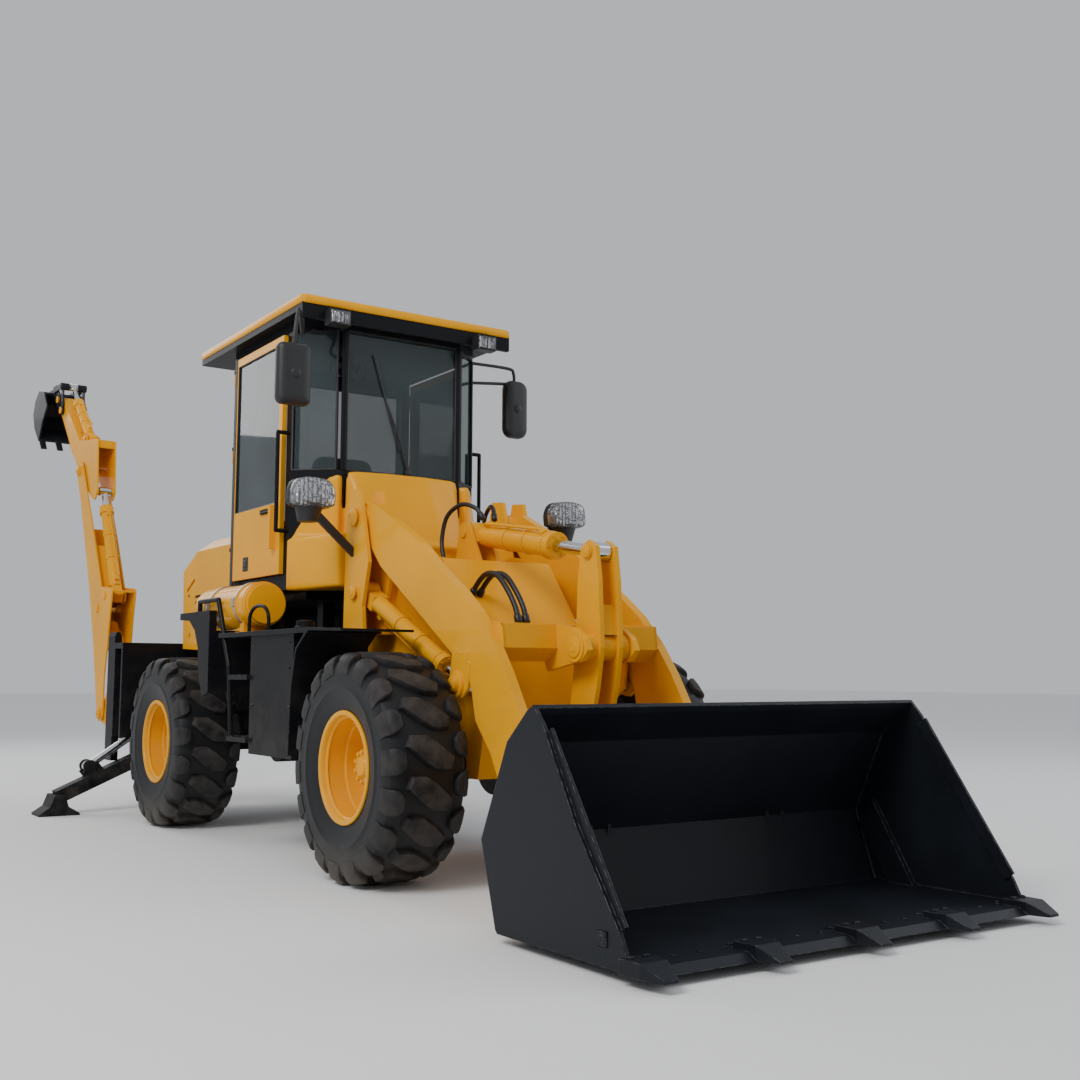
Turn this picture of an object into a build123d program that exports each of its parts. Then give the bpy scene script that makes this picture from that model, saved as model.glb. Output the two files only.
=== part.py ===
from build123d import *
import os
from math import cos, hypot, pi, radians, sin

# Backhoe loader in millimetres, +X forward, +Y to the left, +Z up, ground at Z 0.
# Lengths along the machine are counted from the front axle. The last lines move
# everything so that X 0 is the middle of the machine's length.

# driving dimensions
WHEELBASE = 2766
TRACK_HALF = 756
TYRE_R = 537.5
TYRE_W = 410
RIM_R = 250
KINGPIN_Y = TRACK_HALF - 196
HUB_BORE_R = 40.1
SPINDLE_R = 40

CYL_Y = 455
ARM_IN = 450
ARM_OUT = 500
ARM_PIVOT = (-738, 1809)
LIFT_BASE = (-728, 1402)
LIFT_EYE = (301, 924)
CRANK_PIVOT = (755, 1094)
CRANK_TOP = (738, 1538)
CRANK_LOW = (600, 520)
BUCKET_LINK = (1215, 480)
BUCKET_PIN = (1225, 280)
TILT_BASE = (-380, 1725)

BUCKET_HALF = 1011.5
SIDE_PLATE = 14
TOOTH_TIP = 2387

KING_X = -WHEELBASE - 1474
KING_Y = -700
SLEW = 2.5
BOOM_FOOT = (320, 669)
BOOM_TOP = (1073, 2644)
BOOM_CYL_BASE = (128, 860)
BOOM_CYL_EYE = (470, 1480)
DIP_CYL_BASE = (315, 1571)
DIP_CYL_EYE = (704, 2434)
DIPPER_ANGLE = 46.2
DIPPER_LENGTH = 1000

STAB_X = -WHEELBASE - 1034
STAB_PIN = (500, 470)
STAB_FOOT = (1285, 120)
STAB_CYL_BASE = (440, 760)
STAB_CYL_EYE = (1080, 325)


def block(x, y, z):
    size = Box(x[1] - x[0], y[1] - y[0], z[1] - z[0])
    return Pos((x[0] + x[1]) / 2, (y[0] + y[1]) / 2, (z[0] + z[1]) / 2) * size


def plate_y(points, y):
    face = make_face(Polyline(*points, close=True))
    return extrude(Plane.XZ.offset(-y[1]) * face, y[1] - y[0])


def plate_x(points, x):
    face = make_face(Polyline(*points, close=True))
    return extrude(Plane.YZ.offset(x[0]) * face, x[1] - x[0])


def plate_z(points, z):
    face = make_face(Polyline(*points, close=True))
    return extrude(Plane.XY.offset(z[0]) * face, z[1] - z[0])


def disc_y(centre, radius, y):
    turned = Rot(90, 0, 0) * Cylinder(radius, y[1] - y[0])
    return Pos(centre[0], (y[0] + y[1]) / 2, centre[1]) * turned


def bar(start, end, radius):
    axis = Vector(*end) - Vector(*start)
    plane = Plane(origin=start, z_dir=axis)
    return plane * Cylinder(radius, axis.length, align=(Align.CENTER, Align.CENTER, Align.MIN))


def along(start, end, distance):
    length = hypot(end[0] - start[0], end[1] - start[1])
    return (
        start[0] + (end[0] - start[0]) * distance / length,
        start[1] + (end[1] - start[1]) * distance / length,
    )


def strip_y(start, end, half, y):
    length = hypot(end[0] - start[0], end[1] - start[1])
    side = ((start[1] - end[1]) / length * half, (end[0] - start[0]) / length * half)
    corners = [
        (start[0] + side[0], start[1] + side[1]),
        (end[0] + side[0], end[1] + side[1]),
        (end[0] - side[0], end[1] - side[1]),
        (start[0] - side[0], start[1] - side[1]),
    ]
    return plate_y(corners, y)


def both(shape):
    return shape + mirror(shape, about=Plane.XZ)


def pipe(points, radius):
    run = bar(points[0], points[1], radius)
    for start, end in zip(points[1:-1], points[2:]):
        run = run + Pos(*start) * Sphere(radius) + bar(start, end, radius)
    return run


def barrel_y(base, eye, centre, radius, length, neck, half, pin_r):
    # a cylinder's tube with its base eye, seen from the side, at one height in Y
    flat = (centre - half, centre + half)
    start = along(base, eye, neck)
    end = along(base, eye, length)
    gland = along(base, eye, length - 60)
    tube = bar((start[0], centre, start[1]), (end[0], centre, end[1]), radius)
    head = bar((gland[0], centre, gland[1]), (end[0], centre, end[1]), radius + 8)
    shank = strip_y(base, along(base, eye, neck + 5), min(half, radius) * 0.9, flat)
    return tube + head + disc_y(base, pin_r + 22, flat) + shank


def rod_y(base, eye, centre, radius, start, half, eye_r):
    # a cylinder's rod, from inside its gland to the eye at its tip
    flat = (centre - half, centre + half)
    low = along(base, eye, start)
    high = along(eye, base, eye_r * 0.5)
    shank = bar((low[0], centre, low[1]), (high[0], centre, high[1]), radius)
    return shank + disc_y(eye, eye_r, flat)


def hollow(base, eye, centre, radius, depth, length):
    # the bore that the rod runs in
    start = along(base, eye, depth)
    end = along(base, eye, length + 1)
    return bar((start[0], centre, start[1]), (end[0], centre, end[1]), radius)


nodes = {}

# wheels: tyre and rim are drawn at the origin with +Y outwards
SIDES = 30
PITCHES = 18
LUG_ROOT = 480
half_w = TYRE_W / 2


def ring(section):
    # a turned piece with flat facets, from its section's radius and width; a facet faces down
    def corner(step, point):
        turn = 2 * pi * (step + 0.5) / SIDES
        reach = point[0] / cos(pi / SIDES)
        return (reach * sin(turn), point[1], reach * cos(turn))

    faces = []
    for step in range(SIDES):
        for a, b in zip(section, section[1:] + section[:1]):
            outline = [corner(step, a), corner(step, b), corner(step + 1, b), corner(step + 1, a)]
            faces.append(make_face(Polyline(*outline, close=True)).face())
    return Solid(Shell(faces))


tyre = ring(
    [
        (RIM_R, -160),
        (RIM_R + 120, -half_w),
        (470, -half_w + 4),
        (507, -half_w + 24),
        (507, half_w - 24),
        (470, half_w - 4),
        (RIM_R + 120, half_w),
        (RIM_R, 160),
    ]
)
tread_drum = extrude(Plane.XZ.offset(-half_w) * RegularPolygon(TYRE_R, 2 * PITCHES,
    major_radius=False), TYRE_W)
tread_drum = Rot(0, 180 / (2 * PITCHES), 0) * tread_drum
middle_lug = [(-84, -128), (14, -134), (32, -24), (84, 128), (-14, 134), (-32, 24)]
middle = extrude(Plane.XY.offset(LUG_ROOT) * make_face(Polyline(*middle_lug, close=True)), TYRE_R)
shoulder_lug = [(142, 440), (half_w, 440), (half_w, 492), (178, 526), (142, 531)]
shoulder = plate_x(shoulder_lug, (-52, 52))
for pitch in range(PITCHES):
    turn = 360 / PITCHES * pitch
    tyre = tyre + Rot(0, turn, 0) * (middle & tread_drum)
    tyre = tyre + Rot(0, turn - 4, 0) * shoulder
    tyre = tyre + Rot(0, turn + 4, 0) * mirror(shoulder, about=Plane.XZ)

rim = ring(
    [
        (RIM_R, -168),
        (RIM_R, 168),
        (263, 172),
        (263, 184),
        (240, 184),
        (232, 150),
        (232, -40),
        (112, -66),
        (60, -66),
        (60, -84),
        (112, -84),
        (232, -60),
        (232, -150),
        (240, -184),
        (263, -184),
        (263, -172),
    ]
)
rim = rim + bar((0, -84, 0), (0, -20, 0), 112) + bar((0, -20, 0), (0, 28, 0), 70)
rim = rim - bar((0, -90, 0), (0, 5, 0), HUB_BORE_R)
HUB_BOLTS = 8
bolt_head = Pos(92, -9, 0) * (Rot(90, 0, 0) * extrude(RegularPolygon(12, 6), 11, both=True))
for bolt in range(HUB_BOLTS):
    rim = rim + Rot(0, 360 / HUB_BOLTS * bolt, 0) * bolt_head

wheel_places = {
    "front_left": (0, TRACK_HALF),
    "front_right": (0, -TRACK_HALF),
    "rear_left": (-WHEELBASE, TRACK_HALF),
    "rear_right": (-WHEELBASE, -TRACK_HALF),
}
for place, (x, y) in wheel_places.items():
    seat = Pos(x, y, TYRE_R)
    if y > 0:
        nodes["tyre_" + place] = seat * tyre
        nodes["rim_" + place] = seat * rim
    else:
        nodes["tyre_" + place] = seat * mirror(tyre, about=Plane.XZ)
        nodes["rim_" + place] = seat * mirror(rim, about=Plane.XZ)

# front axle: housing, differential, brake drums and spindles
AXLE_Z = TYRE_R
HUB_FACE = TRACK_HALF - 90
front = block((-75, 75), (-HUB_FACE + 60, HUB_FACE - 60), (AXLE_Z - 75, AXLE_Z + 75))
front = front + Pos(0, 0, AXLE_Z) * (Rot(90, 0, 0) * Cylinder(165, 230))
front = front + bar((0, 0, AXLE_Z), (-260, 0, AXLE_Z), 70)
drum = bar((0, 500, AXLE_Z), (0, HUB_FACE, AXLE_Z), 130)
spindle = bar((0, HUB_FACE, AXLE_Z), (0, TRACK_HALF, AXLE_Z), SPINDLE_R)
front = front + both(drum + spindle)
front = front + both(block((-88, 88), (290, 340), (AXLE_Z + 70, 615)))
nodes["front_axle"] = front

# rear axle: beam with forked ends, the steering knuckles turn on its kingpins
RX = -WHEELBASE
rear = block((RX - 70, RX + 70), (-470, 470), (AXLE_Z - 65, AXLE_Z + 65))
rear = rear + Pos(RX, 0, AXLE_Z) * (Rot(90, 0, 0) * Cylinder(160, 220))
rear = rear + bar((RX, 0, AXLE_Z), (RX + 260, 0, AXLE_Z), 70)
fork = block((RX - 60, RX + 60), (440, 480), (AXLE_Z - 160, AXLE_Z + 160))
for z in (-160, 125):
    fork = fork + block((RX - 45, RX + 45), (475, KINGPIN_Y), (AXLE_Z + z, AXLE_Z + z + 35))
    fork = fork + Pos(RX, KINGPIN_Y, AXLE_Z + z + 17.5) * Cylinder(45, 35)
fork = fork + Pos(RX, KINGPIN_Y, AXLE_Z) * Cylinder(20, 300)
rear = rear + both(fork)
rear = rear + both(block((RX - 110, RX + 110), (180, 300), (AXLE_Z + 60, 720)))
knuckle = Pos(RX, KINGPIN_Y, AXLE_Z) * Cylinder(60, 240)
knuckle = knuckle + bar((RX, KINGPIN_Y, AXLE_Z), (RX, HUB_FACE, AXLE_Z), 105)
knuckle = knuckle + bar((RX, HUB_FACE, AXLE_Z), (RX, TRACK_HALF, AXLE_Z), SPINDLE_R)
knuckle = knuckle + block((RX - 190, RX), (KINGPIN_Y - 25, KINGPIN_Y + 25), (430, 460))
knuckle = knuckle - Pos(RX, KINGPIN_Y, AXLE_Z) * Cylinder(20.1, 400)
cut = Pos(RX, KINGPIN_Y, AXLE_Z) * Cylinder(75, 250)
rear = rear - (both(cut) - both(Pos(RX, KINGPIN_Y, AXLE_Z) * Cylinder(20, 300)))
nodes["rear_axle"] = rear
nodes["knuckle_left"] = knuckle
nodes["knuckle_right"] = mirror(knuckle, about=Plane.XZ)

# chassis: two rails with cross members, from the front frame back to the backhoe frame
RAIL = (230, 310)
RAIL_Z = (720, 900)
BOX_X = (-WHEELBASE - 1124, -WHEELBASE - 924)
chassis = both(block((BOX_X[1], -970), RAIL, RAIL_Z))
for x in (BOX_X[1] + 50, -2050, -1300):
    chassis = chassis + block((x - 40, x + 40), (-230, 230), (740, 880))
for x in (-3570, -2480):
    chassis = chassis + both(block((x - 30, x + 30), RAIL, (900, 1200)))
    chassis = chassis + both(block((x - 30, x + 30), (RAIL[1], 450), (1160, 1200)))
nodes["chassis_frame"] = chassis

# front frame: two deep side plates between the loader arms, closed front and back
FF_SIDE = (300, 330)
front_profile = [
    (-970, 560),
    (-300, 470),
    (-110, 470),
    (-90, 615),
    (90, 615),
    (110, 470),
    (210, 470),
    (260, 700),
    (150, 1180),
    (-150, 1560),
    (-480, 1620),
    (-970, 1500),
]
frame = both(plate_y(front_profile, FF_SIDE))
frame = frame + plate_y([(210, 470), (260, 700), (235, 715), (185, 480)], (-300, 300))
frame = frame + plate_y([(260, 700), (150, 1180), (125, 1170), (235, 690)], (-300, 300))
frame = frame + plate_y([(150, 1180), (-150, 1560), (-170, 1545), (125, 1170)], (-300, 300))
frame = frame + block((-970, -945), (-300, 300), (560, 1500))
frame = frame + block((-960, 220), (-300, 300), (710, 725))
tilt_lug = plate_y([(-480, 1530), (-430, 1760), (-330, 1760), (-200, 1530)], (45, 65))
frame = frame + both(tilt_lug)
frame = frame + block((-490, -180), (-300, 300), (1515, 1535))
frame = frame + both(disc_y(TILT_BASE, 60, (45, 65)))
tower = [
    (-865, 1180),
    (-620, 1180),
    (-640, 1330),
    (-575, 1560),
    (-690, 1960),
    (-800, 1970),
    (-850, 1800),
]
frame = frame + both(plate_y(tower, (374, 396)))
frame = frame + both(plate_y(tower, (514, 536)))
frame = frame + both(block((-865, -845), (396, 514), (1180, 1780)))
frame = frame + both(block((-865, -620), (396, 514), (1180, 1205)))
frame = frame + both(block((-865, -640), (330, 374), (1180, 1500)))
frame = frame + both(disc_y(ARM_PIVOT, 35, (374, 548)))
frame = frame + both(disc_y(LIFT_BASE, 25, (374, 548)))
nodes["front_frame"] = frame

# engine, one plain block on its feet
engine = block((-3450, -2560), (-240, 240), (960, 1560))
engine = engine + both(block((-3400, -3300), (225, 310), (900, 1000)))
engine = engine + both(block((-2700, -2600), (225, 310), (900, 1000)))
nodes["engine_block"] = engine

# decks and front fenders, one side drawn and mirrored
DECK_Z = 1200
deck = block((-1640, -400), (540, 950), (DECK_Z - 25, DECK_Z))
deck = deck - block((-880, -560), (500, 545), (DECK_Z - 40, DECK_Z + 20))
fender = [
    (-20, 1185),
    (-400, 1200),
    (-545, 1100),
    (-600, 900),
    (-622, 560),
    (-610, 560),
    (-588, 898),
    (-535, 1090),
    (-396, 1186),
    (-20, 1172),
]
deck = deck + plate_y(fender, (560, 950))
deck = deck + block((-1190, -612), (560, 930), (540, DECK_Z - 20))
deck = deck + block((-1640, -1190), (540, 600), (700, DECK_Z - 20))
for z in (610, 950):
    deck = deck + block((-1470, -1190), (700, 950), (z - 12, z + 12))
    deck = deck + block((-1470, -1440), (600, 950), (z - 12, z + 12))
deck = deck + block((-1640, -1000), (310, 545), (800, 860))
deck = deck + block((-1640, -1600), (310, 600), (840, DECK_Z - 20))
deck = deck + pipe([(-1510, 930, 1010), (-1710, 930, 1400), (-2020, 930, 1400), (-2020, 930, 1335)], 14)
deck = deck + pipe([(-1510, 930, 1010), (-1455, 930, 620)], 14)
skirt = [
    (-1800, 1340),
    (-2320, 1340),
    (-2320, 1300),
    (-2150, 1290),
    (-2050, 1230),
    (-1985, 1120),
    (-1960, 960),
    (-1890, 840),
    (-1800, 860),
]
deck = deck + plate_y(skirt, (938, 950)) + block((-2320, -1800), (905, 950), (1328, 1340))
inner_edge = [(600, 860), (950, 860), (950, 1340), (905, 1340), (905, 1225), (600, 1225)]
deck = deck + plate_x(inner_edge, (-1815, -1800))
deck = deck + block((-1815, -1620), (320, 620), (1160, 1185))
nodes["side_decks"] = both(deck)

# backhoe frame: cross box behind the rear wheels with posts and slide rails
RAIL_BACK = BOX_X[0] - 160
FRONT_WALL = (BOX_X[1] - 30, BOX_X[1])
BACK_WALL = (BOX_X[0], BOX_X[0] + 15)
INSIDE = (BACK_WALL[1], FRONT_WALL[0])
FRAME_HALF = 900
back = block(FRONT_WALL, (-FRAME_HALF, FRAME_HALF), (520, 1190))
back = back + block(BACK_WALL, (-FRAME_HALF, FRAME_HALF), (520, 1190))
back = back + block(INSIDE, (-FRAME_HALF, FRAME_HALF), (1150, 1190))
back = back + both(block(INSIDE, (350, 370), (520, 1150)))
for x in (BACK_WALL, (INSIDE[1], INSIDE[1] + 15)):
    back = back + both(block(x, (400, 600), (400, 520)))
slide = (RAIL_BACK, BOX_X[0])
back = back + block(slide, (-FRAME_HALF, FRAME_HALF), (1090, 1140))
back = back + block(slide, (-FRAME_HALF, FRAME_HALF), (560, 610))
post_line = [(850, 350), (900, 350), (900, 1240), (888, 1270), (862, 1270), (850, 1240)]
back = back + both(plate_x(post_line, slide))
back = back + both(block(FRONT_WALL, (250, 330), (400, 520)))
nodes["backhoe_frame"] = back

# cab: pillars, sills, roof rails; open inside
CAB_FLOOR = 1455
cab_plan = [(-2370, 620), (-1440, 620), (-1215, 390), (-1215, -390), (-1440, -620), (-2370, -620)]
inner_plan = [(-2330, 580), (-1460, 580), (-1250, 365), (-1250, -365), (-1460, -580), (-2330, -580)]
floor = plate_z(cab_plan, (CAB_FLOOR, CAB_FLOOR + 45))
roof_ring = plate_z(cab_plan, (2985, 3040)) - plate_z(inner_plan, (2980, 3045))
cab = floor + roof_ring
pillars = block((-2370, -2290), (560, 620), (1500, 2985))
pillars = pillars + block((-1500, -1440), (565, 620), (1500, 2985))
pillars = pillars + block((-2290, -1500), (590, 620), (1500, 1545))
cab = cab + both(pillars)
lower_front = plate_z(cab_plan, (1500, 2150)) - plate_z(inner_plan, (1490, 2160))
lower_front = lower_front - block((-2400, -1440), (-700, 700), (1490, 2160))
cab = cab + lower_front
cab = cab + block((-2370, -2330), (-560, 560), (1500, 1960))
cab = cab + block((-2370, -2330), (-560, 560), (2900, 2985))
cab = cab + both(bar((-1225, 385, 2150), (-1225, 385, 2985), 16))
cab = cab + block((-2360, -1400), (-520, 520), (1400, CAB_FLOOR))
cab = cab + both(block((-1700, -1620), (230, 310), (900, 1400)))
cab = cab + both(block((-2300, -2220), (230, 310), (900, 1400)))
rail = pipe([(-1465, 600, 2380), (-1465, 690, 2380), (-1465, 690, 1800), (-1465, 600, 1800)], 12)
cab = cab + both(rail)
nodes["cab_frame"] = cab

# roof: dark shell under a thin coloured top
roof = block((-2786, -1130), (-700, 700), (3040, 3110))
visor = plate_y([(-1130, 3110), (-1130, 2995), (-1160, 2995), (-1215, 3040), (-1215, 3110)], (-700, 700))
nodes["cab_roof"] = roof + visor
cap_low = [(-2786, -700), (-1130, -700), (-1130, 700), (-2786, 700)]
cap = plate_z(cap_low, (3110, 3125)) + block((-2740, -1180), (-650, 650), (3125, 3140))
nodes["roof_panel"] = cap

# cab glass: front in three panes, rear pane
GLASS = 6
front_pane = block((-1236, -1230), (-366, 366), (2150, 2985))
side_pane = plate_z([(-1439, 604), (-1439, 595), (-1256, 404), (-1250, 410)], (2150, 2984.9))
rear_pane = block((-2353, -2347), (-560, 560), (1960, 2900))
nodes["cab_glass"] = front_pane + both(side_pane) + rear_pane

# doors, hinged at their rear edge
door = block((-2286, -1504), (622, 650), (1550, 2975))
door = door - block((-2236, -1554), (610, 660), (1975, 2925))
door = door + block((-1590, -1560), (648, 690), (1700, 1960))
for z in (1700, 2350, 2850):
    door = door + Pos(-2300, 640, z) * Cylinder(14, 80)
    door = door + block((-2300, -2276), (630, 647), (z - 38, z + 38))
pane = block((-2236, -1554), (632, 638), (1975, 2925))
for z in (1700, 2350, 2850):
    leaf = Pos(-2300, 640, z + 53) * Cylinder(14, 20) + block((-2312, -2292), (615, 640),
        (z + 43, z + 63))
    nodes["cab_frame"] = nodes["cab_frame"] + both(leaf)
nodes["door_left"] = door
nodes["door_glass_left"] = pane
nodes["door_right"] = mirror(door, about=Plane.XZ)
nodes["door_glass_right"] = mirror(pane, about=Plane.XZ)

# cowl between the cab and the front frame
CAB_FRONT = -1215
COWL_Z = (1445, 1720, 2145)


def cowl_plan(reach, corner, flat, half):
    # half plan of the nose: front X, X of its corner, half width of the flat and of the whole
    left = [(CAB_FRONT, half), (corner, half - 60), (reach, flat)]
    return left + [(x, -y) for x, y in reversed(left)]


def section_z(points, z):
    return Plane.XY.offset(z) * make_face(Polyline(*points, close=True))


low_plan = cowl_plan(-975, -1040, 190, 385)
cowl = loft([section_z(low_plan, COWL_Z[1]),
    section_z(cowl_plan(-1150, -1180, 120, 385), COWL_Z[2])], ruled=True)
cowl = cowl + plate_z(low_plan, COWL_Z[:2])
ledge = cowl_plan(-960, -1030, 200, 385)
cowl = cowl + plate_z(ledge, (COWL_Z[1] - 30, COWL_Z[1]))
shoulder = [
    (-1432, 628),
    (-1430, 642),
    (-880, 570),
    (-880, 340),
    (-985, 340),
    (-1000, 240),
    (-1205, 360),
    (-1205, 396),
]
cowl = cowl + both(plate_z(shoulder, (COWL_Z[0], 1750)))
corner_face = Plane(origin=(CAB_FRONT, 390, 0), x_dir=(-225, 230, 0), z_dir=(230, 225, 0))
wing = extrude(corner_face * make_face(Polyline((0, 1740), (0, 2120), (70, 2100), (290, 1740),
    close=True)), 60)
cowl = cowl + both(wing)
nodes["cowl"] = cowl

# hood behind the cab
hood_outer = [(-3650, 1150), (-3685, 1710), (-3240, 1910), (-2400, 1910), (-2400, 1120), (-2600, 1110)]
hood_inner = [(-3620, 1100), (-3650, 1690), (-3230, 1880), (-2370, 1880), (-2370, 1050), (-2600, 1060)]
HOOD_HALF = 480
HOOD_WALL = 30
HOOD_CHAMFER = 70


def hood_prism(half, top, chamfer):
    # the hood seen from behind, with both long top edges cut off
    right = [(half, 1000), (half, top - chamfer), (half - chamfer, top)]
    return plate_x(right + [(-y, z) for y, z in reversed(right)], (-3700, -2300))


hood = plate_y(hood_outer, (-HOOD_HALF, HOOD_HALF)) & hood_prism(HOOD_HALF, 1910, HOOD_CHAMFER)
hollow_half = HOOD_HALF - HOOD_WALL
hood = hood - (plate_y(hood_inner, (-hollow_half, hollow_half)) & hood_prism(hollow_half, 1880,
    HOOD_CHAMFER - 12))
for row in range(6):
    z = 1300 + row * 42
    hood = hood - block((-3420, -3060), (-HOOD_HALF - 5, HOOD_HALF + 5), (z, z + 16))
hood = hood - strip_y((-3600, 1560), (-3440, 1640), 12, (-HOOD_HALF - 5, HOOD_HALF + 5))
hood = hood - disc_y((-3520, 1240), 20, (-HOOD_HALF - 5, HOOD_HALF + 5))
for row in range(9):
    z = 1230 + row * 46
    hood = hood - both(block((-3720, -3600), (22, 330), (z, z + 22)))
hood = hood + both(block((-2700, -2560), (HOOD_HALF - 2, HOOD_HALF + 6), (1560, 1584)))
nodes["hood"] = hood

# air cleaner on the deck, right side
CLEANER_Y = -775
CLEANER_Z = 1365
CLEANER_R = 125


def cleaner_disc(x, radius):
    return bar((x[0], CLEANER_Y, CLEANER_Z), (x[1], CLEANER_Y, CLEANER_Z), radius)


cleaner = cleaner_disc((-2200, -1385), CLEANER_R)
cleaner = cleaner + cleaner_disc((-2230, -2200), CLEANER_R - 20) + cleaner_disc((-1385, -1360),
    CLEANER_R - 12)
cleaner = cleaner + cleaner_disc((-1545, -1515), CLEANER_R + 6) + cleaner_disc((-1420, -1408),
    CLEANER_R + 5)
cleaner = cleaner + block((-1560, -1500), (CLEANER_Y - 80, CLEANER_Y + 55), (DECK_Z, CLEANER_Z))
cleaner = cleaner + block((-1580, -1480), (CLEANER_Y - 100, CLEANER_Y + 80), (DECK_Z, DECK_Z + 10))
nodes["air_cleaner"] = cleaner

# seat and controls in the cab
SEAT_HALF = 240
seat = block((-2060, -1720), (-180, 180), (1500, 1640))
seat = seat + block((-2110, -1640), (-SEAT_HALF, SEAT_HALF), (1640, 1790))
back_profile = [(-2110, 1760), (-1985, 1760), (-2050, 2300), (-2075, 2420), (-2150, 2420), (-2190, 2300)]
seat = seat + plate_y(back_profile, (-SEAT_HALF + 10, SEAT_HALF - 10))
nodes["seat"] = seat
COLUMN = ((-1306, 0, 1520), (-1480, 0, 2060))
WHEEL_R = 175
column_dir = Vector(*COLUMN[1]) - Vector(*COLUMN[0])
wheel_plane = Plane(origin=COLUMN[1], z_dir=column_dir)
column = block((-1350, -1260), (-50, 50), (1500, 1545)) + bar(*COLUMN, 30)
grip = [(WHEEL_R + 15, -6), (WHEEL_R + 15, 6), (WHEEL_R + 6, 15), (WHEEL_R - 6, 15),
        (WHEEL_R - 15, 6), (WHEEL_R - 15, -6), (WHEEL_R - 6, -15), (WHEEL_R + 6, -15)]
column = column + wheel_plane * (Rot(90, 0, 0) * ring(grip) + Cylinder(42, 40))
for turn in (90, 210, 330):
    spoke = Pos(WHEEL_R / 2, 0, 0) * Box(WHEEL_R, 26, 10)
    column = column + wheel_plane * (Rot(0, 0, turn) * spoke)
dash = plate_y([(-1300, 1500), (-1300, 1900), (-1335, 1990), (-1262, 2010), (-1262, 1500)], (-300, 300))
column = column + dash
for y in (-330, -400):
    column = column + block((-1760, -1640), (y - 25, y + 25), (1500, 1760))
    column = column + bar((-1700, y, 1755), (-1660, y, 1930), 9) + Pos(-1660, y, 1930) * Sphere(24)
nodes["controls"] = column

# mirrors and lamps


def rounded_x(y, z, corner, x):
    # a plate across the machine with its four corners cut off
    points = [
        (y[0] + corner, z[0]),
        (y[1] - corner, z[0]),
        (y[1], z[0] + corner),
        (y[1], z[1] - corner),
        (y[1] - corner, z[1]),
        (y[0] + corner, z[1]),
        (y[0], z[1] - corner),
        (y[0], z[0] + corner),
    ]
    return plate_x(points, x)


mirrors = rounded_x((-1040, -870), (2330, 2750), 22, (-680, -628)) + rounded_x((-1028, -882),
    (2345, 2735), 22, (-628, -620))
mirrors = mirrors + pipe([(-650, -950, 2740), (-650, -930, 2860), (-1145, -690, 2900),
    (-1145, -690, 2995)], 11)
left_mirror = rounded_x((850, 1030), (2400, 2800), 60, (-1470, -1428)) + rounded_x((862, 1018),
    (2415, 2785), 55, (-1428, -1420))
left_mirror = left_mirror + pipe([(-1460, 940, 2790), (-1460, 940, 2900), (-1460, 620, 2900)], 11)
left_mirror = left_mirror + pipe([(-1460, 940, 2780), (-1460, 620, 2780)], 9)
nodes["mirror_right"] = mirrors
nodes["mirror_left"] = left_mirror
lens = [(705, 1850), (700, 1920), (730, 1978), (775, 1992), (870, 1992), (920, 1965), (932, 1900),
    (915, 1845), (760, 1838)]
lamp = plate_x(lens, (-740, -668)) + plate_x([((y - 815) * 0.9 + 815,
    (z - 1918) * 0.9 + 1918) for y, z in lens], (-668, -640))
lamp = lamp + loft(
    [
        Plane.XY.offset(1765) * (Pos(-712, 825) * Circle(52)),
        Plane.XY.offset(1860) * (Pos(-706, 820) * Circle(78)),
    ]
)
lamp = lamp + plate_x([(536, 1600), (536, 1650), (760, 1850), (800, 1830)], (-780, -750))
nodes["lamps"] = both(lamp) + both(block((-1130, -1060), (430, 560), (2960, 3050)))

# loader arms with cross tube
arm = [
    (-800, 1850),
    (-738, 1890),
    (-610, 1880),
    (-350, 1760),
    (-80, 1620),
    (120, 1480),
    (310, 1370),
    (470, 1255),
    (600, 1120),
    (710, 980),
    (820, 810),
    (1060, 520),
    (1280, 330),
    (1295, 240),
    (1225, 205),
    (1130, 190),
    (900, 240),
    (690, 450),
    (591, 620),
    (460, 760),
    (425, 900),
    (370, 1015),
    (230, 1075),
    (-500, 1530),
    (-700, 1720),
    (-800, 1770),
]
arms = both(plate_y(arm, (ARM_IN, ARM_OUT)))
arms = arms + both(disc_y(ARM_PIVOT, 85, (401, 509)))
arms = arms - both(disc_y(ARM_PIVOT, 35.1, (390, 520)))
tube = [(420, 1060), (420, 1215), (600, 1200), (615, 1090), (540, 1030)]
arms = arms + plate_y(tube, (-ARM_IN, ARM_IN))
bracket = [(420, 1215), (600, 1205), (760, 1180), (830, 1130), (850, 1080), (800, 1030),
    (700, 1015), (530, 985)]
arms = arms + both(plate_y(bracket, (120, 150)))
arms = arms + both(disc_y(CRANK_PIVOT, 70, (120, 158)))
cheek = [(230, 960), (260, 1100), (420, 1020), (395, 900), (340, 860), (270, 870)]
arms = arms + both(plate_y(cheek, (407, 420))) + both(plate_y(cheek, (490, 503)))
arms = arms + both(block((250, 400), (407, 503), (1040, 1075)))
arms = arms + both(disc_y(LIFT_EYE, 38, (503, 530)))
arms = arms + both(disc_y(BUCKET_PIN, 75, (443, 507)))
arms = arms - both(disc_y(BUCKET_PIN, 30.1, (430, 520)))
nodes["loader_arms"] = arms + disc_y(CRANK_PIVOT, 30, (-150, 150))

# lift cylinders
LIFT_TUBE = 940
lift_barrel = barrel_y(LIFT_BASE, LIFT_EYE, CYL_Y, 46, LIFT_TUBE, 150, 45, 40)
lift_barrel = lift_barrel - disc_y(LIFT_BASE, 25.1, (380, 520))
lift_barrel = lift_barrel - hollow(LIFT_BASE, LIFT_EYE, CYL_Y, 25.1, 440, LIFT_TUBE)
lift_rod = rod_y(LIFT_BASE, LIFT_EYE, CYL_Y, 25, 460, 31, 42)
nodes["lift_barrels"] = both(lift_barrel)
nodes["lift_rods"] = both(lift_rod)

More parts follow.
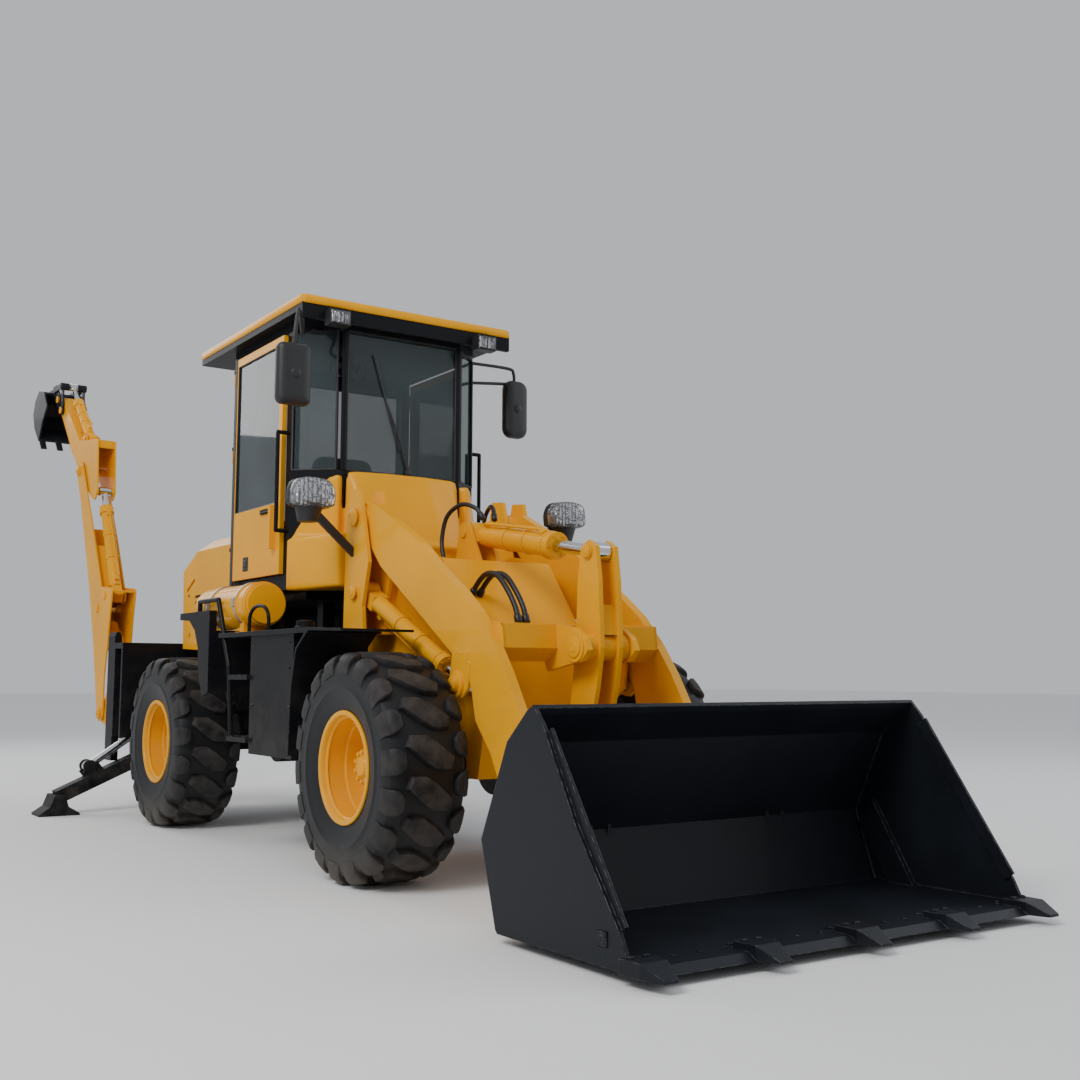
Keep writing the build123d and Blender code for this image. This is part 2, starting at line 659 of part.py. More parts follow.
# bell crank, link and tilt cylinder
crank = [
    (680, 1560),
    (738, 1592),
    (796, 1560),
    (819, 1400),
    (835, 1094),
    (800, 900),
    (740, 700),
    (655, 490),
    (600, 465),
    (548, 500),
    (560, 640),
    (610, 900),
    (640, 1094),
    (655, 1400),
]
bell = both(plate_y(crank, (42, 65)))
bell = bell + plate_y([(660, 1150), (690, 1290), (790, 1290), (815, 1150)], (-42, 42))
bell = bell + disc_y(CRANK_PIVOT, 62, (-115, 115)) - disc_y(CRANK_PIVOT, 30.1, (-120, 120))
bell = bell + both(disc_y(CRANK_TOP, 36, (65, 76))) + both(disc_y(CRANK_LOW, 36, (65, 76)))
bell = bell + disc_y(CRANK_LOW, 24, (-65, 65))
nodes["bell_crank"] = bell
link = strip_y(CRANK_LOW, BUCKET_LINK, 38, (-37, 37))
link = link + disc_y(CRANK_LOW, 55, (-37, 37)) + disc_y(BUCKET_LINK, 52, (-37, 37))
nodes["bucket_link"] = link - disc_y(CRANK_LOW, 24.1, (-60, 60))
TILT_TUBE = 790
tilt = barrel_y(TILT_BASE, CRANK_TOP, 0, 60, TILT_TUBE, 135, 40, 40)
tilt = tilt - hollow(TILT_BASE, CRANK_TOP, 0, 30.1, 380, TILT_TUBE)
tilt = tilt - disc_y(TILT_BASE, 25.1, (-70, 70))
nodes["front_frame"] = nodes["front_frame"] + disc_y(TILT_BASE, 25, (-75, 75))
nodes["tilt_barrel"] = tilt
nodes["tilt_rod"] = rod_y(TILT_BASE, CRANK_TOP, 0, 30, 400, 37, 46)

# loader bucket
side = [
    (1461, 35),
    (1448, 47),
    (1348, 361),
    (1521, 726),
    (1650, 840),
    (1690, 862),
    (1749, 798),
    (1949, 463),
    (2183, 154),
    (2230, 60),
    (2230, 35),
]
shell = plate_y(side[:6] + [(1700, 850), (1678, 826), (1533, 718), (1363, 361), (1468, 60),
    (2230, 60), (2230, 35)],
                (-BUCKET_HALF + 5, BUCKET_HALF - 5))
bucket = shell + both(plate_y(side, (BUCKET_HALF - SIDE_PLATE, BUCKET_HALF)))
edge = plate_y([(2150, 35), (2150, 60), (2270, 60), (2310, 35)], (-BUCKET_HALF, BUCKET_HALF))
bucket = bucket + edge
strip = strip_y((1760, 770), (2175, 160), 26, (BUCKET_HALF - SIDE_PLATE - 12, BUCKET_HALF - SIDE_PLATE))
bucket = bucket + both(strip)
gusset = [(1560, 60), (1700, 60), (1480, 420), (1400, 300)]
bucket = bucket + both(plate_y(gusset, (BUCKET_HALF - SIDE_PLATE - 24, BUCKET_HALF - SIDE_PLATE)))
for y in (-760, -250, 250, 760):
    bucket = bucket + block((1480, 2150), (y - 45, y + 45), (25, 36))
TEETH = 5
TOOTH_PITCH = (2 * BUCKET_HALF - 83) / (TEETH - 1)
for tooth in range(TEETH):
    y = (tooth - (TEETH - 1) / 2) * TOOTH_PITCH
    point = plate_z([(2200, y - 60), (2200, y + 60), (2300, y + 55), (TOOTH_TIP, y + 28),
                     (TOOTH_TIP, y - 28), (2300, y - 55)], (35, 100))
    wedge = plate_y([(2200, 35), (2200, 85), (2300, 85), (TOOTH_TIP, 45), (TOOTH_TIP, 35)],
        (y - 70, y + 70))
    bucket = bucket + (point & wedge)
hinge = [(1190, 215), (1170, 290), (1230, 350), (1370, 420), (1376, 300), (1436, 120), (1300, 190)]
for low in (424, 511):
    bucket = bucket + both(plate_y(hinge, (low, low + 15)))
bucket = bucket + both(disc_y(BUCKET_PIN, 30, (424, 526)))
link_lug = [(1165, 450), (1175, 520), (1240, 540), (1435, 545), (1365, 400), (1350, 361), (1230, 430)]
bucket = bucket + both(plate_y(link_lug, (42, 62)))
bucket = bucket + both(disc_y(BUCKET_LINK, 34, (62, 74)))
nodes["loader_bucket"] = bucket

# backhoe, drawn in its own plane: X is minus the distance behind the kingpost


def flip(points):
    return [(-point[0], point[1]) for point in points]


def flip1(point):
    return (-point[0], point[1])


def local(shape):
    return Pos(KING_X, KING_Y, 0) * (Rot(0, 0, SLEW) * shape)


# carriage that slides along the backhoe frame
CARRIAGE = (KING_Y - 140, KING_Y + 140)
hook = (RAIL_BACK - 1, RAIL_BACK + 100)
carriage = block((RAIL_BACK - 110, RAIL_BACK), CARRIAGE, (500, 1185))
carriage = carriage + block(hook, CARRIAGE, (1140.3, 1175))
carriage = carriage + block(hook, CARRIAGE, (525, 559.7))
carriage = carriage - block((RAIL_BACK - 0.3, RAIL_BACK + 5), (-2000, 2000), (559.7, 1140.3))
lug_reach = (KING_X - 60, RAIL_BACK - 110)
lug_top = block(lug_reach, (KING_Y - 75, KING_Y + 75), (1155, 1185))
lug_top = lug_top + Pos(KING_X, KING_Y, 1170) * Cylinder(75, 30)
lug_low = block(lug_reach, (KING_Y - 75, KING_Y + 75), (500, 530))
lug_low = lug_low + Pos(KING_X, KING_Y, 515) * Cylinder(75, 30)
carriage = carriage + lug_top + lug_low
carriage = carriage + Pos(KING_X, KING_Y, 842) * Cylinder(34.9, 680)
carriage = carriage - block((RAIL_BACK - 100, RAIL_BACK + 1), (KING_Y - 110, KING_Y + 110), (640, 1050))
nodes["shift_carriage"] = carriage

king = Pos(0, 0, 842) * Cylinder(65, 610)
cheek_k = [
    (-8, 560),
    (60, 540),
    (380, 615),
    (385, 700),
    (330, 735),
    (260, 790),
    (190, 880),
    (160, 940),
    (60, 1120),
    (-8, 1120),
]
king = king + both(plate_y(flip(cheek_k), (52, 74)))
king = king + both(disc_y(flip1(BOOM_FOOT), 62, (52, 78)))
king = king - disc_y(flip1(BOOM_FOOT), 30.1, (-90, 90))
king = king + both(disc_y(flip1(BOOM_CYL_BASE), 30, (52, 84)))
king = king - block((-600, -66), (-51.9, 51.9), (500, 1200))
king = king + disc_y(flip1(BOOM_CYL_BASE), 20, (-84, 84))
king = king - Pos(0, 0, 842) * Cylinder(35, 700)
nodes["kingpost"] = king

boom_side = [
    (258, 655),
    (285, 612),
    (345, 606),
    (385, 650),
    (437, 843),
    (524, 1154),
    (683, 1625),
    (864, 2050),
    (1014, 2395),
    (1140, 2625),
    (1125, 2700),
    (1060, 2722),
    (1000, 2690),
    (608, 2028),
    (400, 1645),
    (150, 1622),
    (135, 1597),
    (173, 1408),
    (205, 1180),
    (251, 959),
]
boom = both(plate_y(flip(boom_side), (83, 95)))
cover = [(524, 1154), (683, 1625), (864, 2050), (900, 2140), (888, 2146), (850, 2056), (669, 1630),
    (510, 1158)]
boom = boom + plate_y(flip(cover), (-83, 83))
top_cover = [(640, 1990), (440, 1640), (400, 1625), (150, 1602), (152, 1590), (405, 1610),
    (450, 1630), (652, 1984)]
boom = boom + plate_y(flip(top_cover), (-83, 83))
dip_lug = [(240, 1590), (262, 1530), (315, 1512), (370, 1540), (420, 1625), (405, 1640)]
boom = boom - plate_y(flip([(240, 1560), (240, 1700), (384, 1700), (384, 1560)]), (-44, 44))
boom = boom + both(plate_y(flip(dip_lug), (44, 58)))
boom = boom + both(disc_y(flip1(DIP_CYL_BASE), 25, (44, 70)))
boom = boom + disc_y(flip1(BOOM_FOOT), 30, (-95, 95)) + both(disc_y(flip1(BOOM_FOOT), 42, (95, 108)))
boom = boom + disc_y(flip1(BOOM_TOP), 30, (-95, 95)) + both(disc_y(flip1(BOOM_TOP), 42, (95, 108)))
boom = boom + both(disc_y(flip1(BOOM_CYL_EYE), 34, (46, 83)))
boom = boom + disc_y(flip1(DIP_CYL_BASE), 20, (-70, 70))
pipe_line = cover[:3] + [(896, 2130)]
for y in (-45, -15, 15, 45):
    boom = boom + pipe([(-r - 7, y, z - 3) for r, z in pipe_line], 9)
nodes["boom"] = boom

BOOM_TUBE = 560
barrel = barrel_y(flip1(BOOM_CYL_BASE), flip1(BOOM_CYL_EYE), 0, 42, BOOM_TUBE, 90, 34, 30)
barrel = barrel - hollow(flip1(BOOM_CYL_BASE), flip1(BOOM_CYL_EYE), 0, 22.1, 100, BOOM_TUBE)
nodes["boom_barrel"] = barrel - disc_y(flip1(BOOM_CYL_BASE), 20.1, (-90, 90))
nodes["boom_rod"] = rod_y(flip1(BOOM_CYL_BASE), flip1(BOOM_CYL_EYE), 0, 22, 115, 38, 40)

a = radians(DIPPER_ANGLE)


def dip(u, v):
    # point u along the dipper and v above it, as distance behind the kingpost and height
    return (BOOM_TOP[0] + u * cos(a) - v * sin(a), BOOM_TOP[1] + u * sin(a) + v * cos(a))


def tip(u, v):
    # the same from the digging bucket's pin
    return dip(DIPPER_LENGTH + u, v)


DIG_CYL_BASE = dip(215, 174)
ROCKER_PIVOT = tip(-150, -5)
ROCKER_TOP = tip(10, 140)
DIG_PIN = tip(0, 0)
LINK_PIN = tip(150, -3)
stick = [
    (690, 2380),
    (720, 2365),
    (775, 2385),
    (1090, 2580),
    dip(90, -60),
    dip(560, -62),
    tip(0, -52),
    tip(45, -25),
    tip(45, 25),
    tip(0, 52),
    dip(260, 118),
    (800, 2870),
    (690, 2850),
    (655, 2430),
]
dipper = both(plate_y(flip(stick), (64, 76)))
dipper = dipper + plate_y(flip([(705, 2790), (700, 2856), (800, 2875), dip(260, 118), dip(262, 106),
                                (806, 2862), (715, 2845)]), (-64, 64))
dipper = dipper + plate_y(flip([dip(260, 118), tip(-40, 56), tip(-40, 44), dip(262, 106)]), (-64, 64))
under = [dip(150, -61), dip(560, -62), tip(-40, -54), tip(-40, -42), dip(560, -50), dip(150, -49)]
dipper = dipper + plate_y(flip(under), (-64, 64))
dipper = dipper - strip_y(flip1(dip(160, 180)), flip1(dip(420, 150)), 56, (-37, 37))
dipper = dipper - disc_y(flip1(BOOM_TOP), 30.1, (-120, 120))
dipper = dipper + both(disc_y(flip1(DIP_CYL_EYE), 30, (50, 64)))
cyl_lug = [dip(150, 100), dip(170, 190), dip(215, 214), dip(260, 190), dip(300, 100)]
dipper = dipper + both(plate_y(flip(cyl_lug), (38, 52)))
dipper = dipper + both(disc_y(flip1(DIG_CYL_BASE), 22, (38, 60)))
dipper = dipper + disc_y(flip1(DIG_PIN), 24, (-104, 104)) + disc_y(flip1(ROCKER_PIVOT), 20, (-104, 104))
dipper = dipper + disc_y(flip1(DIG_CYL_BASE), 16, (-60, 60))
nodes["dipper"] = dipper

DIP_TUBE = 800
barrel = barrel_y(flip1(DIP_CYL_BASE), flip1(DIP_CYL_EYE), 0, 45, DIP_TUBE, 85, 38, 30)
barrel = barrel - hollow(flip1(DIP_CYL_BASE), flip1(DIP_CYL_EYE), 0, 24.1, 150, DIP_TUBE)
nodes["dipper_barrel"] = barrel - disc_y(flip1(DIP_CYL_BASE), 20.1, (-90, 90))
nodes["dipper_rod"] = rod_y(flip1(DIP_CYL_BASE), flip1(DIP_CYL_EYE), 0, 24, 165, 45, 36)

DIG_TUBE = 560
barrel = barrel_y(flip1(DIG_CYL_BASE), flip1(ROCKER_TOP), 0, 38, DIG_TUBE, 75, 32, 26)
barrel = barrel - hollow(flip1(DIG_CYL_BASE), flip1(ROCKER_TOP), 0, 20.1, 90, DIG_TUBE)
nodes["dig_barrel"] = barrel - disc_y(flip1(DIG_CYL_BASE), 16.1, (-90, 90))
nodes["dig_rod"] = rod_y(flip1(DIG_CYL_BASE), flip1(ROCKER_TOP), 0, 20, 290, 30, 32)
rocker = both(strip_y(flip1(ROCKER_PIVOT), flip1(ROCKER_TOP), 28, (82, 94)))
rocker = rocker + both(disc_y(flip1(ROCKER_PIVOT), 36, (82, 94))) + both(disc_y(flip1(ROCKER_TOP),
    32, (36, 94)))
rocker = rocker - disc_y(flip1(ROCKER_PIVOT), 20.1, (-120, 120))
rocker = rocker + both(disc_y(flip1(ROCKER_TOP), 18, (94, 113)))
nodes["rocker"] = rocker
push = both(strip_y(flip1(ROCKER_TOP), flip1(LINK_PIN), 24, (97, 109)))
push = push + both(disc_y(flip1(ROCKER_TOP), 32, (97, 109))) + both(disc_y(flip1(LINK_PIN), 32,
    (97, 109)))
nodes["push_link"] = push - disc_y(flip1(ROCKER_TOP), 18.1, (-120, 120))
dig_side = [
    tip(-42, -40),
    tip(-34, 5),
    tip(-28, 22),
    tip(-10, 42),
    tip(0, 45),
    tip(180, 30),
    tip(200, -30),
    tip(320, -150),
    tip(345, -290),
    tip(290, -400),
    tip(160, -450),
    tip(-40, -440),
    tip(10, -250),
]
dig_inner = [
    tip(-100, -60),
    tip(150, -60),
    tip(305, -160),
    tip(328, -285),
    tip(278, -385),
    tip(158, -434),
    tip(-100, -424),
]
DIG_HALF = 175
dig = both(plate_y(flip(dig_side), (80, 95)))
bowl_side = [tip(10, -84), tip(185, -60)] + dig_side[7:]
bowl = plate_y(flip(bowl_side), (-DIG_HALF, DIG_HALF)) - plate_y(flip(dig_inner),
    (-DIG_HALF + 12, DIG_HALF - 12))
dig = dig - plate_y(flip(dig_inner), (-DIG_HALF + 12, DIG_HALF - 12)) + bowl
dig_tooth = [tip(-10, -424), tip(-10, -446), tip(-140, -450), tip(-138, -440)]
for y in (-140, 0, 140):
    dig = dig + plate_y(flip(dig_tooth), (y - 25, y + 25))
dig = dig - disc_y(flip1(DIG_PIN), 24.1, (-120, 120))
nodes["digging_bucket"] = dig

for name in (
    "kingpost",
    "boom",
    "boom_barrel",
    "boom_rod",
    "dipper",
    "dipper_barrel",
    "dipper_rod",
    "dig_barrel",
    "dig_rod",
    "rocker",
    "push_link",
    "digging_bucket",
):
    nodes[name] = local(nodes[name])

# stabilisers, drawn on the left and mirrored


def strip_x(start, end, half, x):
    length = hypot(end[0] - start[0], end[1] - start[1])
    side = ((start[1] - end[1]) / length * half, (end[0] - start[0]) / length * half)
    return plate_x(
        [
            (start[0] + side[0], start[1] + side[1]),
            (end[0] + side[0], end[1] + side[1]),
            (end[0] - side[0], end[1] - side[1]),
            (start[0] - side[0], start[1] - side[1]),
        ],
        x,
    )


def boss_x(centre, radius, x):
    return bar((x[0], centre[0], centre[1]), (x[1], centre[0], centre[1]), radius)


LEG_X = (STAB_X - 60, STAB_X + 60)
leg = strip_x(STAB_PIN, STAB_FOOT, 45, LEG_X) + boss_x(STAB_PIN, 60, LEG_X)
leg = leg - boss_x(STAB_PIN, 25.1, (STAB_X - 80, STAB_X + 80))
ears = strip_x(along(STAB_PIN, STAB_FOOT, 560), STAB_CYL_EYE, 60, (STAB_X - 60, STAB_X - 44))
ears = ears + boss_x(STAB_CYL_EYE, 45, (STAB_X - 60, STAB_X - 44))
leg = leg + ears + mirror(ears, about=Plane.YZ.offset(STAB_X))
foot = plate_x([(1150, 0), (1150, 14), (1225, 60), (1250, 140), (1320, 140), (1350, 60), (1420, 14),
    (1420, 0)],
               (STAB_X - 110, STAB_X + 110))
leg = leg + foot
stab_barrel = strip_x(STAB_CYL_BASE, along(STAB_CYL_BASE, STAB_CYL_EYE, 70), 25,
    (STAB_X - 34, STAB_X + 34))
stab_barrel = stab_barrel + boss_x(STAB_CYL_BASE, 42, (STAB_X - 34, STAB_X + 34))
tube_a = along(STAB_CYL_BASE, STAB_CYL_EYE, 60)
tube_b = along(STAB_CYL_BASE, STAB_CYL_EYE, 440)
tube_c = along(STAB_CYL_BASE, STAB_CYL_EYE, 95)
tube_d = along(STAB_CYL_EYE, STAB_CYL_BASE, 15)
tube_e = along(STAB_CYL_BASE, STAB_CYL_EYE, 385)
stab_barrel = stab_barrel + bar((STAB_X, *tube_a), (STAB_X, *tube_b), 42)
stab_barrel = stab_barrel - bar((STAB_X, *tube_c), (STAB_X, *tube_d), 27.1)
stab_barrel = stab_barrel - boss_x(STAB_CYL_BASE, 22.1, (STAB_X - 80, STAB_X + 80))
stab_rod = bar((STAB_X, *tube_e), (STAB_X, *tube_d), 27) + boss_x(STAB_CYL_EYE, 38,
    (STAB_X - 38, STAB_X + 38))
pins = boss_x(STAB_PIN, 25, INSIDE) + boss_x(STAB_CYL_BASE, 22, INSIDE)
nodes["backhoe_frame"] = nodes["backhoe_frame"] + both(pins)
for side_name, turned in (("left", False), ("right", True)):
    for name, shape in (("leg", leg), ("barrel", stab_barrel), ("rod", stab_rod)):
        made = mirror(shape, about=Plane.XZ) if turned else shape
        nodes["stab_" + name + "_" + side_name] = made

# move the middle of the length to X 0 and write one file per node
boxes = [shape.bounding_box() for shape in nodes.values()]
SHIFT = -(max(box.max.X for box in boxes) + min(box.min.X for box in boxes)) / 2
os.makedirs("parts", exist_ok=True)
for name, shape in nodes.items():
    export_step(Pos(SHIFT, 0, 0) * shape, "parts/" + name + ".step")
print(len(nodes), "nodes, shift", round(SHIFT, 2))
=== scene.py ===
"""Backhoe loader for Blender 4.5: materials and detail on the CAD frame.

Everything is in metres in the CAD's frame: +X towards the loader bucket, +Y to the machine's left,
+Z up, ground at Z 0. Places are counted from the front axle, whose place the frame gives.
"""

from math import cos, pi, radians, sin

import bpy
from bpy.props import FloatProperty, FloatVectorProperty, IntProperty
from mathutils import Matrix, Vector


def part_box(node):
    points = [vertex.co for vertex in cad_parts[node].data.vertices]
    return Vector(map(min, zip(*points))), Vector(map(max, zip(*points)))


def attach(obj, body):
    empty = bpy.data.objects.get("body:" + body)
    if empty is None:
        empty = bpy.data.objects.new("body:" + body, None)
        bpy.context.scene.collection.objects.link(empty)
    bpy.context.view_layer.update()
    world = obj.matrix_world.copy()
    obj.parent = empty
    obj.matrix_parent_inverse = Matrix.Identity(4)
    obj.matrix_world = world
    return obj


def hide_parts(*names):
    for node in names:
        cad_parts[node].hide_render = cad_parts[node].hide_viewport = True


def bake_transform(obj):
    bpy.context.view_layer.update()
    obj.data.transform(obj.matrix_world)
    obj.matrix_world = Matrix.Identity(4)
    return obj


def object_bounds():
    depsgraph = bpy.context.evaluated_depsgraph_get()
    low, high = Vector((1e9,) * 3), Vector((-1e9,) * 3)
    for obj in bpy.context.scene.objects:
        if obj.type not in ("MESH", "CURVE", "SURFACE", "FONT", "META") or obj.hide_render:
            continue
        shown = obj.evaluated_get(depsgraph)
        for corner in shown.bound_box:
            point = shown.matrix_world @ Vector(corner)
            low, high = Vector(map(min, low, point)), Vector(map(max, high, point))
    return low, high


bl_info = {
    "name": "Backhoe loader",
    "version": (1, 0, 0),
    "blender": (4, 5, 0),
    "location": "3D View > Sidebar > Loader",
    "description": "Dresses the backhoe loader's CAD frame with materials and detail",
    "category": "Object",
}

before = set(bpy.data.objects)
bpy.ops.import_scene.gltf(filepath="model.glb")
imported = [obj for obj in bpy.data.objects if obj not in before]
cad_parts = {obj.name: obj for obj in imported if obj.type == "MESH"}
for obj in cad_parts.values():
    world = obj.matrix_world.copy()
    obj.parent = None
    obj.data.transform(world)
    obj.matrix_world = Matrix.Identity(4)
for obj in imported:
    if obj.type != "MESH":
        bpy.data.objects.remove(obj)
CAD_LOW, CAD_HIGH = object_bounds()


def middle(node):
    low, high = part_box(node)
    return (low + high) / 2


FRONT_AXLE = middle("rim_front_left").x
REAR_AXLE = middle("rim_rear_left").x
TYRE_LOW, TYRE_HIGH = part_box("tyre_front_left")
TYRE_R = (TYRE_HIGH.z - TYRE_LOW.z) / 2
BUCKET_LOW, BUCKET_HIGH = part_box("loader_bucket")
KING = (FRONT_AXLE - 4.24, -0.7)
SLEW = radians(2.5)
SIDES = {"left": 1, "right": -1}

# pins of the loader, (x, z) from the front axle
ARM_PIVOT = (-0.738, 1.809)
LIFT_BASE = (-0.728, 1.402)
LIFT_EYE = (0.301, 0.924)
TILT_BASE = (-0.38, 1.725)
CRANK_PIVOT = (0.755, 1.094)
CRANK_TOP = (0.738, 1.538)
CRANK_LOW = (0.6, 0.52)
BUCKET_PIN = (1.225, 0.28)
BUCKET_HALF = 1.0115
TOOTH_INSET = 0.0415
LIFT_Y = 0.455

# pins of the backhoe, (reach, height) in its slewed plane
BOOM_FOOT = (0.32, 0.669)
BOOM_TOP = (1.073, 2.644)
BOOM_BASE = (0.128, 0.86)
BOOM_EYE = (0.47, 1.48)
DIPPER_BASE = (0.315, 1.571)
DIPPER_EYE = (0.704, 2.434)
DIPPER_LEAN = radians(46.2)
# and (along, above) the dipper's line
DIG_BASE = (0.215, 0.174)
DIG_EYE = (1.01, 0.14)
DIG_PIN = (1.0, 0.0)
ROCKER_PIN = (0.85, -0.005)

# pins of a stabiliser, (y, z) at its place behind the front axle
STABILISER_X = -3.8
STABILISER_BASE = (0.44, 0.76)
STABILISER_EYE = (1.08, 0.325)

# the boom's rear face, (reach, height) of its lower end and knee, and its slope above
BOOM_BACK_LOW = (0.524, 1.154)
BOOM_BACK_KNEE = (0.683, 1.625)
BOOM_BACK_SLOPE = 0.426

# middle of a headlight, (y, z)
HEADLIGHT = (0.818, 1.918)
# planes of the cab's glass and skin
WINDSCREEN_X = -1.224
REAR_PANE_X = -2.356
DOOR_SKIN_Y = 0.645

CAMERA_PLACE = (5.4314, -3.5347, 0.9661)
LIGHT_AIM_HEIGHT = 1.2
FLOOR_HALF = 60


def at(x, y, z):
    """A place counted from the front axle, in metres."""
    return Vector((FRONT_AXLE + x, y, z))


def pin(point, y):
    """A place on a loader pin's axis, y to the machine's left."""
    return at(point[0], y, point[1])


def behind(reach, across, height):
    """A place in the backhoe's slewed plane: reach is the distance behind its kingpost."""
    return Vector(
        (
            KING[0] - reach * cos(SLEW) - across * sin(SLEW),
            KING[1] - reach * sin(SLEW) + across * cos(SLEW),
            height,
        )
    )


# shader maths

# places of the colour mix node's sockets
MIX_FACTOR, MIX_FIRST, MIX_SECOND, MIX_COLOUR = 0, 6, 7, 2


class Value:
    """A socket with a number in it, which Python's operators extend with Math nodes."""

    def __init__(self, graph, socket):
        self.graph = graph
        self.socket = socket

    def math(self, operation, first, second=0.0, clamp=False):
        settings = {"operation": operation, "use_clamp": clamp}
        node = self.graph.node("ShaderNodeMath", settings, {0: first, 1: second})
        return Value(self.graph, node.outputs[0])

    def __add__(self, other):
        return self.math("ADD", self, other)

    def __sub__(self, other):
        return self.math("SUBTRACT", self, other)

    def __mul__(self, other):
        return self.math("MULTIPLY", self, other)

    def __rsub__(self, other):
        return self.math("SUBTRACT", other, self)

    __radd__ = __add__
    __rmul__ = __mul__

    def clamped(self):
        return self.math("ADD", self, 0.0, clamp=True)

    def step(self, low, high):
        """0 below low, 1 above high, smooth between."""
        settings = {"interpolation_type": "SMOOTHSTEP"}
        node = self.graph.node(
            "ShaderNodeMapRange",
            settings,
            {"Value": self, "From Min": low, "From Max": high},
        )
        return Value(self.graph, node.outputs["Result"])


class Graph:
    """One material's nodes."""

    def __init__(self, name):
        self.material = bpy.data.materials.new(name)
        self.material.use_nodes = True
        self.tree = self.material.node_tree
        self.tree.nodes.clear()
        self.place = self.node("ShaderNodeTexCoord").outputs["Object"]
        axes = self.node("ShaderNodeSeparateXYZ", {}, {"Vector": self.place})
        self.x, self.y, self.z = (Value(self, socket) for socket in axes.outputs)

    def feed(self, target, value):
        """Links a value's socket to the target, or sets a constant on it."""
        if isinstance(value, Value):
            value = value.socket
        if isinstance(value, bpy.types.NodeSocket):
            self.tree.links.new(value, target)
        else:
            target.default_value = value

    def node(self, kind, settings=None, values=None):
        node = self.tree.nodes.new(kind)
        for key, setting in (settings or {}).items():
            setattr(node, key, setting)
        for key, value in (values or {}).items():
            self.feed(node.inputs[key], value)
        return node

    def noise(self, scale, detail=2.0, rough=0.5):
        node = self.node(
            "ShaderNodeTexNoise",
            {},
            {"Vector": self.place, "Scale": scale, "Detail": detail, "Roughness": rough},
        )
        return Value(self, node.outputs["Fac"])

    def cells(self, scale, feature="F1"):
        node = self.node(
            "ShaderNodeTexVoronoi",
            {"feature": feature},
            {"Vector": self.place, "Scale": scale},
        )
        return Value(self, node.outputs["Distance"])

    def attribute(self, name):
        node = self.node("ShaderNodeAttribute", {"attribute_name": name})
        return Value(self, node.outputs["Fac"])

    def mix(self, factor, first, second):
        values = {MIX_FACTOR: factor, MIX_FIRST: first, MIX_SECOND: second}
        return self.node("ShaderNodeMix", {"data_type": "RGBA"}, values).outputs[MIX_COLOUR]

    def rounded(self, radius):
        """Softened normal of the piece's edges, and a mask that is 1 on them."""
        bevel = self.node("ShaderNodeBevel", {"samples": 6}, {"Radius": radius})
        normal = self.node("ShaderNodeNewGeometry").outputs["Normal"]
        dot = self.node(
            "ShaderNodeVectorMath", {"operation": "DOT_PRODUCT"}, {0: bevel.outputs[0], 1: normal}
        )
        edge = (1.0 - Value(self, dot.outputs["Value"])).step(0.01, 0.12)
        return bevel.outputs[0], edge

    def finish(self, colour, rough, height=None, relief=0.001, normal=None, **constants):
        """Ends the graph in a shader; constants are its other sockets, with _ for spaces."""
        shader = self.node("ShaderNodeBsdfPrincipled")
        if height is not None:
            bump = self.node("ShaderNodeBump", {}, {"Height": height, "Distance": relief})
            if normal is not None:
                self.tree.links.new(normal, bump.inputs["Normal"])
            normal = bump.outputs[0]
        values = {"Base Color": colour, "Roughness": rough, "Normal": normal}
        values.update({key.replace("_", " "): value for key, value in constants.items()})
        for key, value in values.items():
            if value is not None:
                self.feed(shader.inputs[key], value)
        self.node("ShaderNodeOutputMaterial", {}, {"Surface": shader.outputs[0]})
        return self.material


def rgba(colour):
    return (*colour, 1.0)


def tinted(colour, factor):
    return rgba([channel * factor for channel in colour])


DUST = (0.36, 0.31, 0.25)
PRIMER = (0.3, 0.29, 0.28)


def paint(name, colour, gloss, dust, wear):
    """Sprayed enamel: soft edges, faint cloudiness, orange peel, dust low down and worn corners."""
    graph = Graph(name)
    normal, edge = graph.rounded(0.004)
    cloud = graph.noise(1.7, 3)
    grime = graph.noise(9, 5, 0.62)
    low = (1.0 - graph.z.step(0.1, 1.3)) * grime.step(0.35, 0.75) * dust
    streak = graph.noise(38, 6, 0.7).step(0.58, 0.72) * 0.12 * dust
    film = (low + streak).clamped()
    chips = edge * graph.noise(55, 4).step(0.5, 0.62) * wear
    base = graph.mix(cloud.step(0.3, 0.75), rgba(colour), tinted(colour, 0.86))
    base = graph.mix(film, base, rgba(DUST))
    base = graph.mix(chips, base, rgba(PRIMER))
    peel = graph.noise(420, 1) * 0.35 + graph.noise(35, 2) * 0.65
    rough = (1.0 - gloss) + cloud * 0.08 + film * 0.35 + chips * 0.2
    coat = (gloss * 0.3 - film).clamped()
    return graph.finish(base, rough, peel, 0.0006, normal, Coat_Weight=coat, Coat_Roughness=0.08,
                        Specular_IOR_Level=0.08)


def plate_steel(name, colour):
    """Dark painted plate of a tool: scraped where earth runs over it."""
    graph = Graph(name)
    normal, edge = graph.rounded(0.005)
    cloud = graph.noise(2.4, 5, 0.6)
    scrape = graph.noise(70, 8, 0.75).step(0.6, 0.75) * (1.0 - graph.z.step(0.05, 0.5))
    bare = (edge * graph.noise(40, 4).step(0.42, 0.6) * 0.5 + scrape * 0.25).clamped()
    base = graph.mix(cloud.step(0.3, 0.7), rgba(colour), tinted(colour, 1.5))
    base = graph.mix(bare, base, (0.2, 0.2, 0.21, 1))
    rough = 0.42 + cloud * 0.22 - bare * 0.1
    height = cloud * 0.7 + graph.noise(160, 3) * 0.3
    return graph.finish(base, rough, height, 0.0012, normal, Metallic=bare, Coat_Weight=0.04,
                        Specular_IOR_Level=0.25)


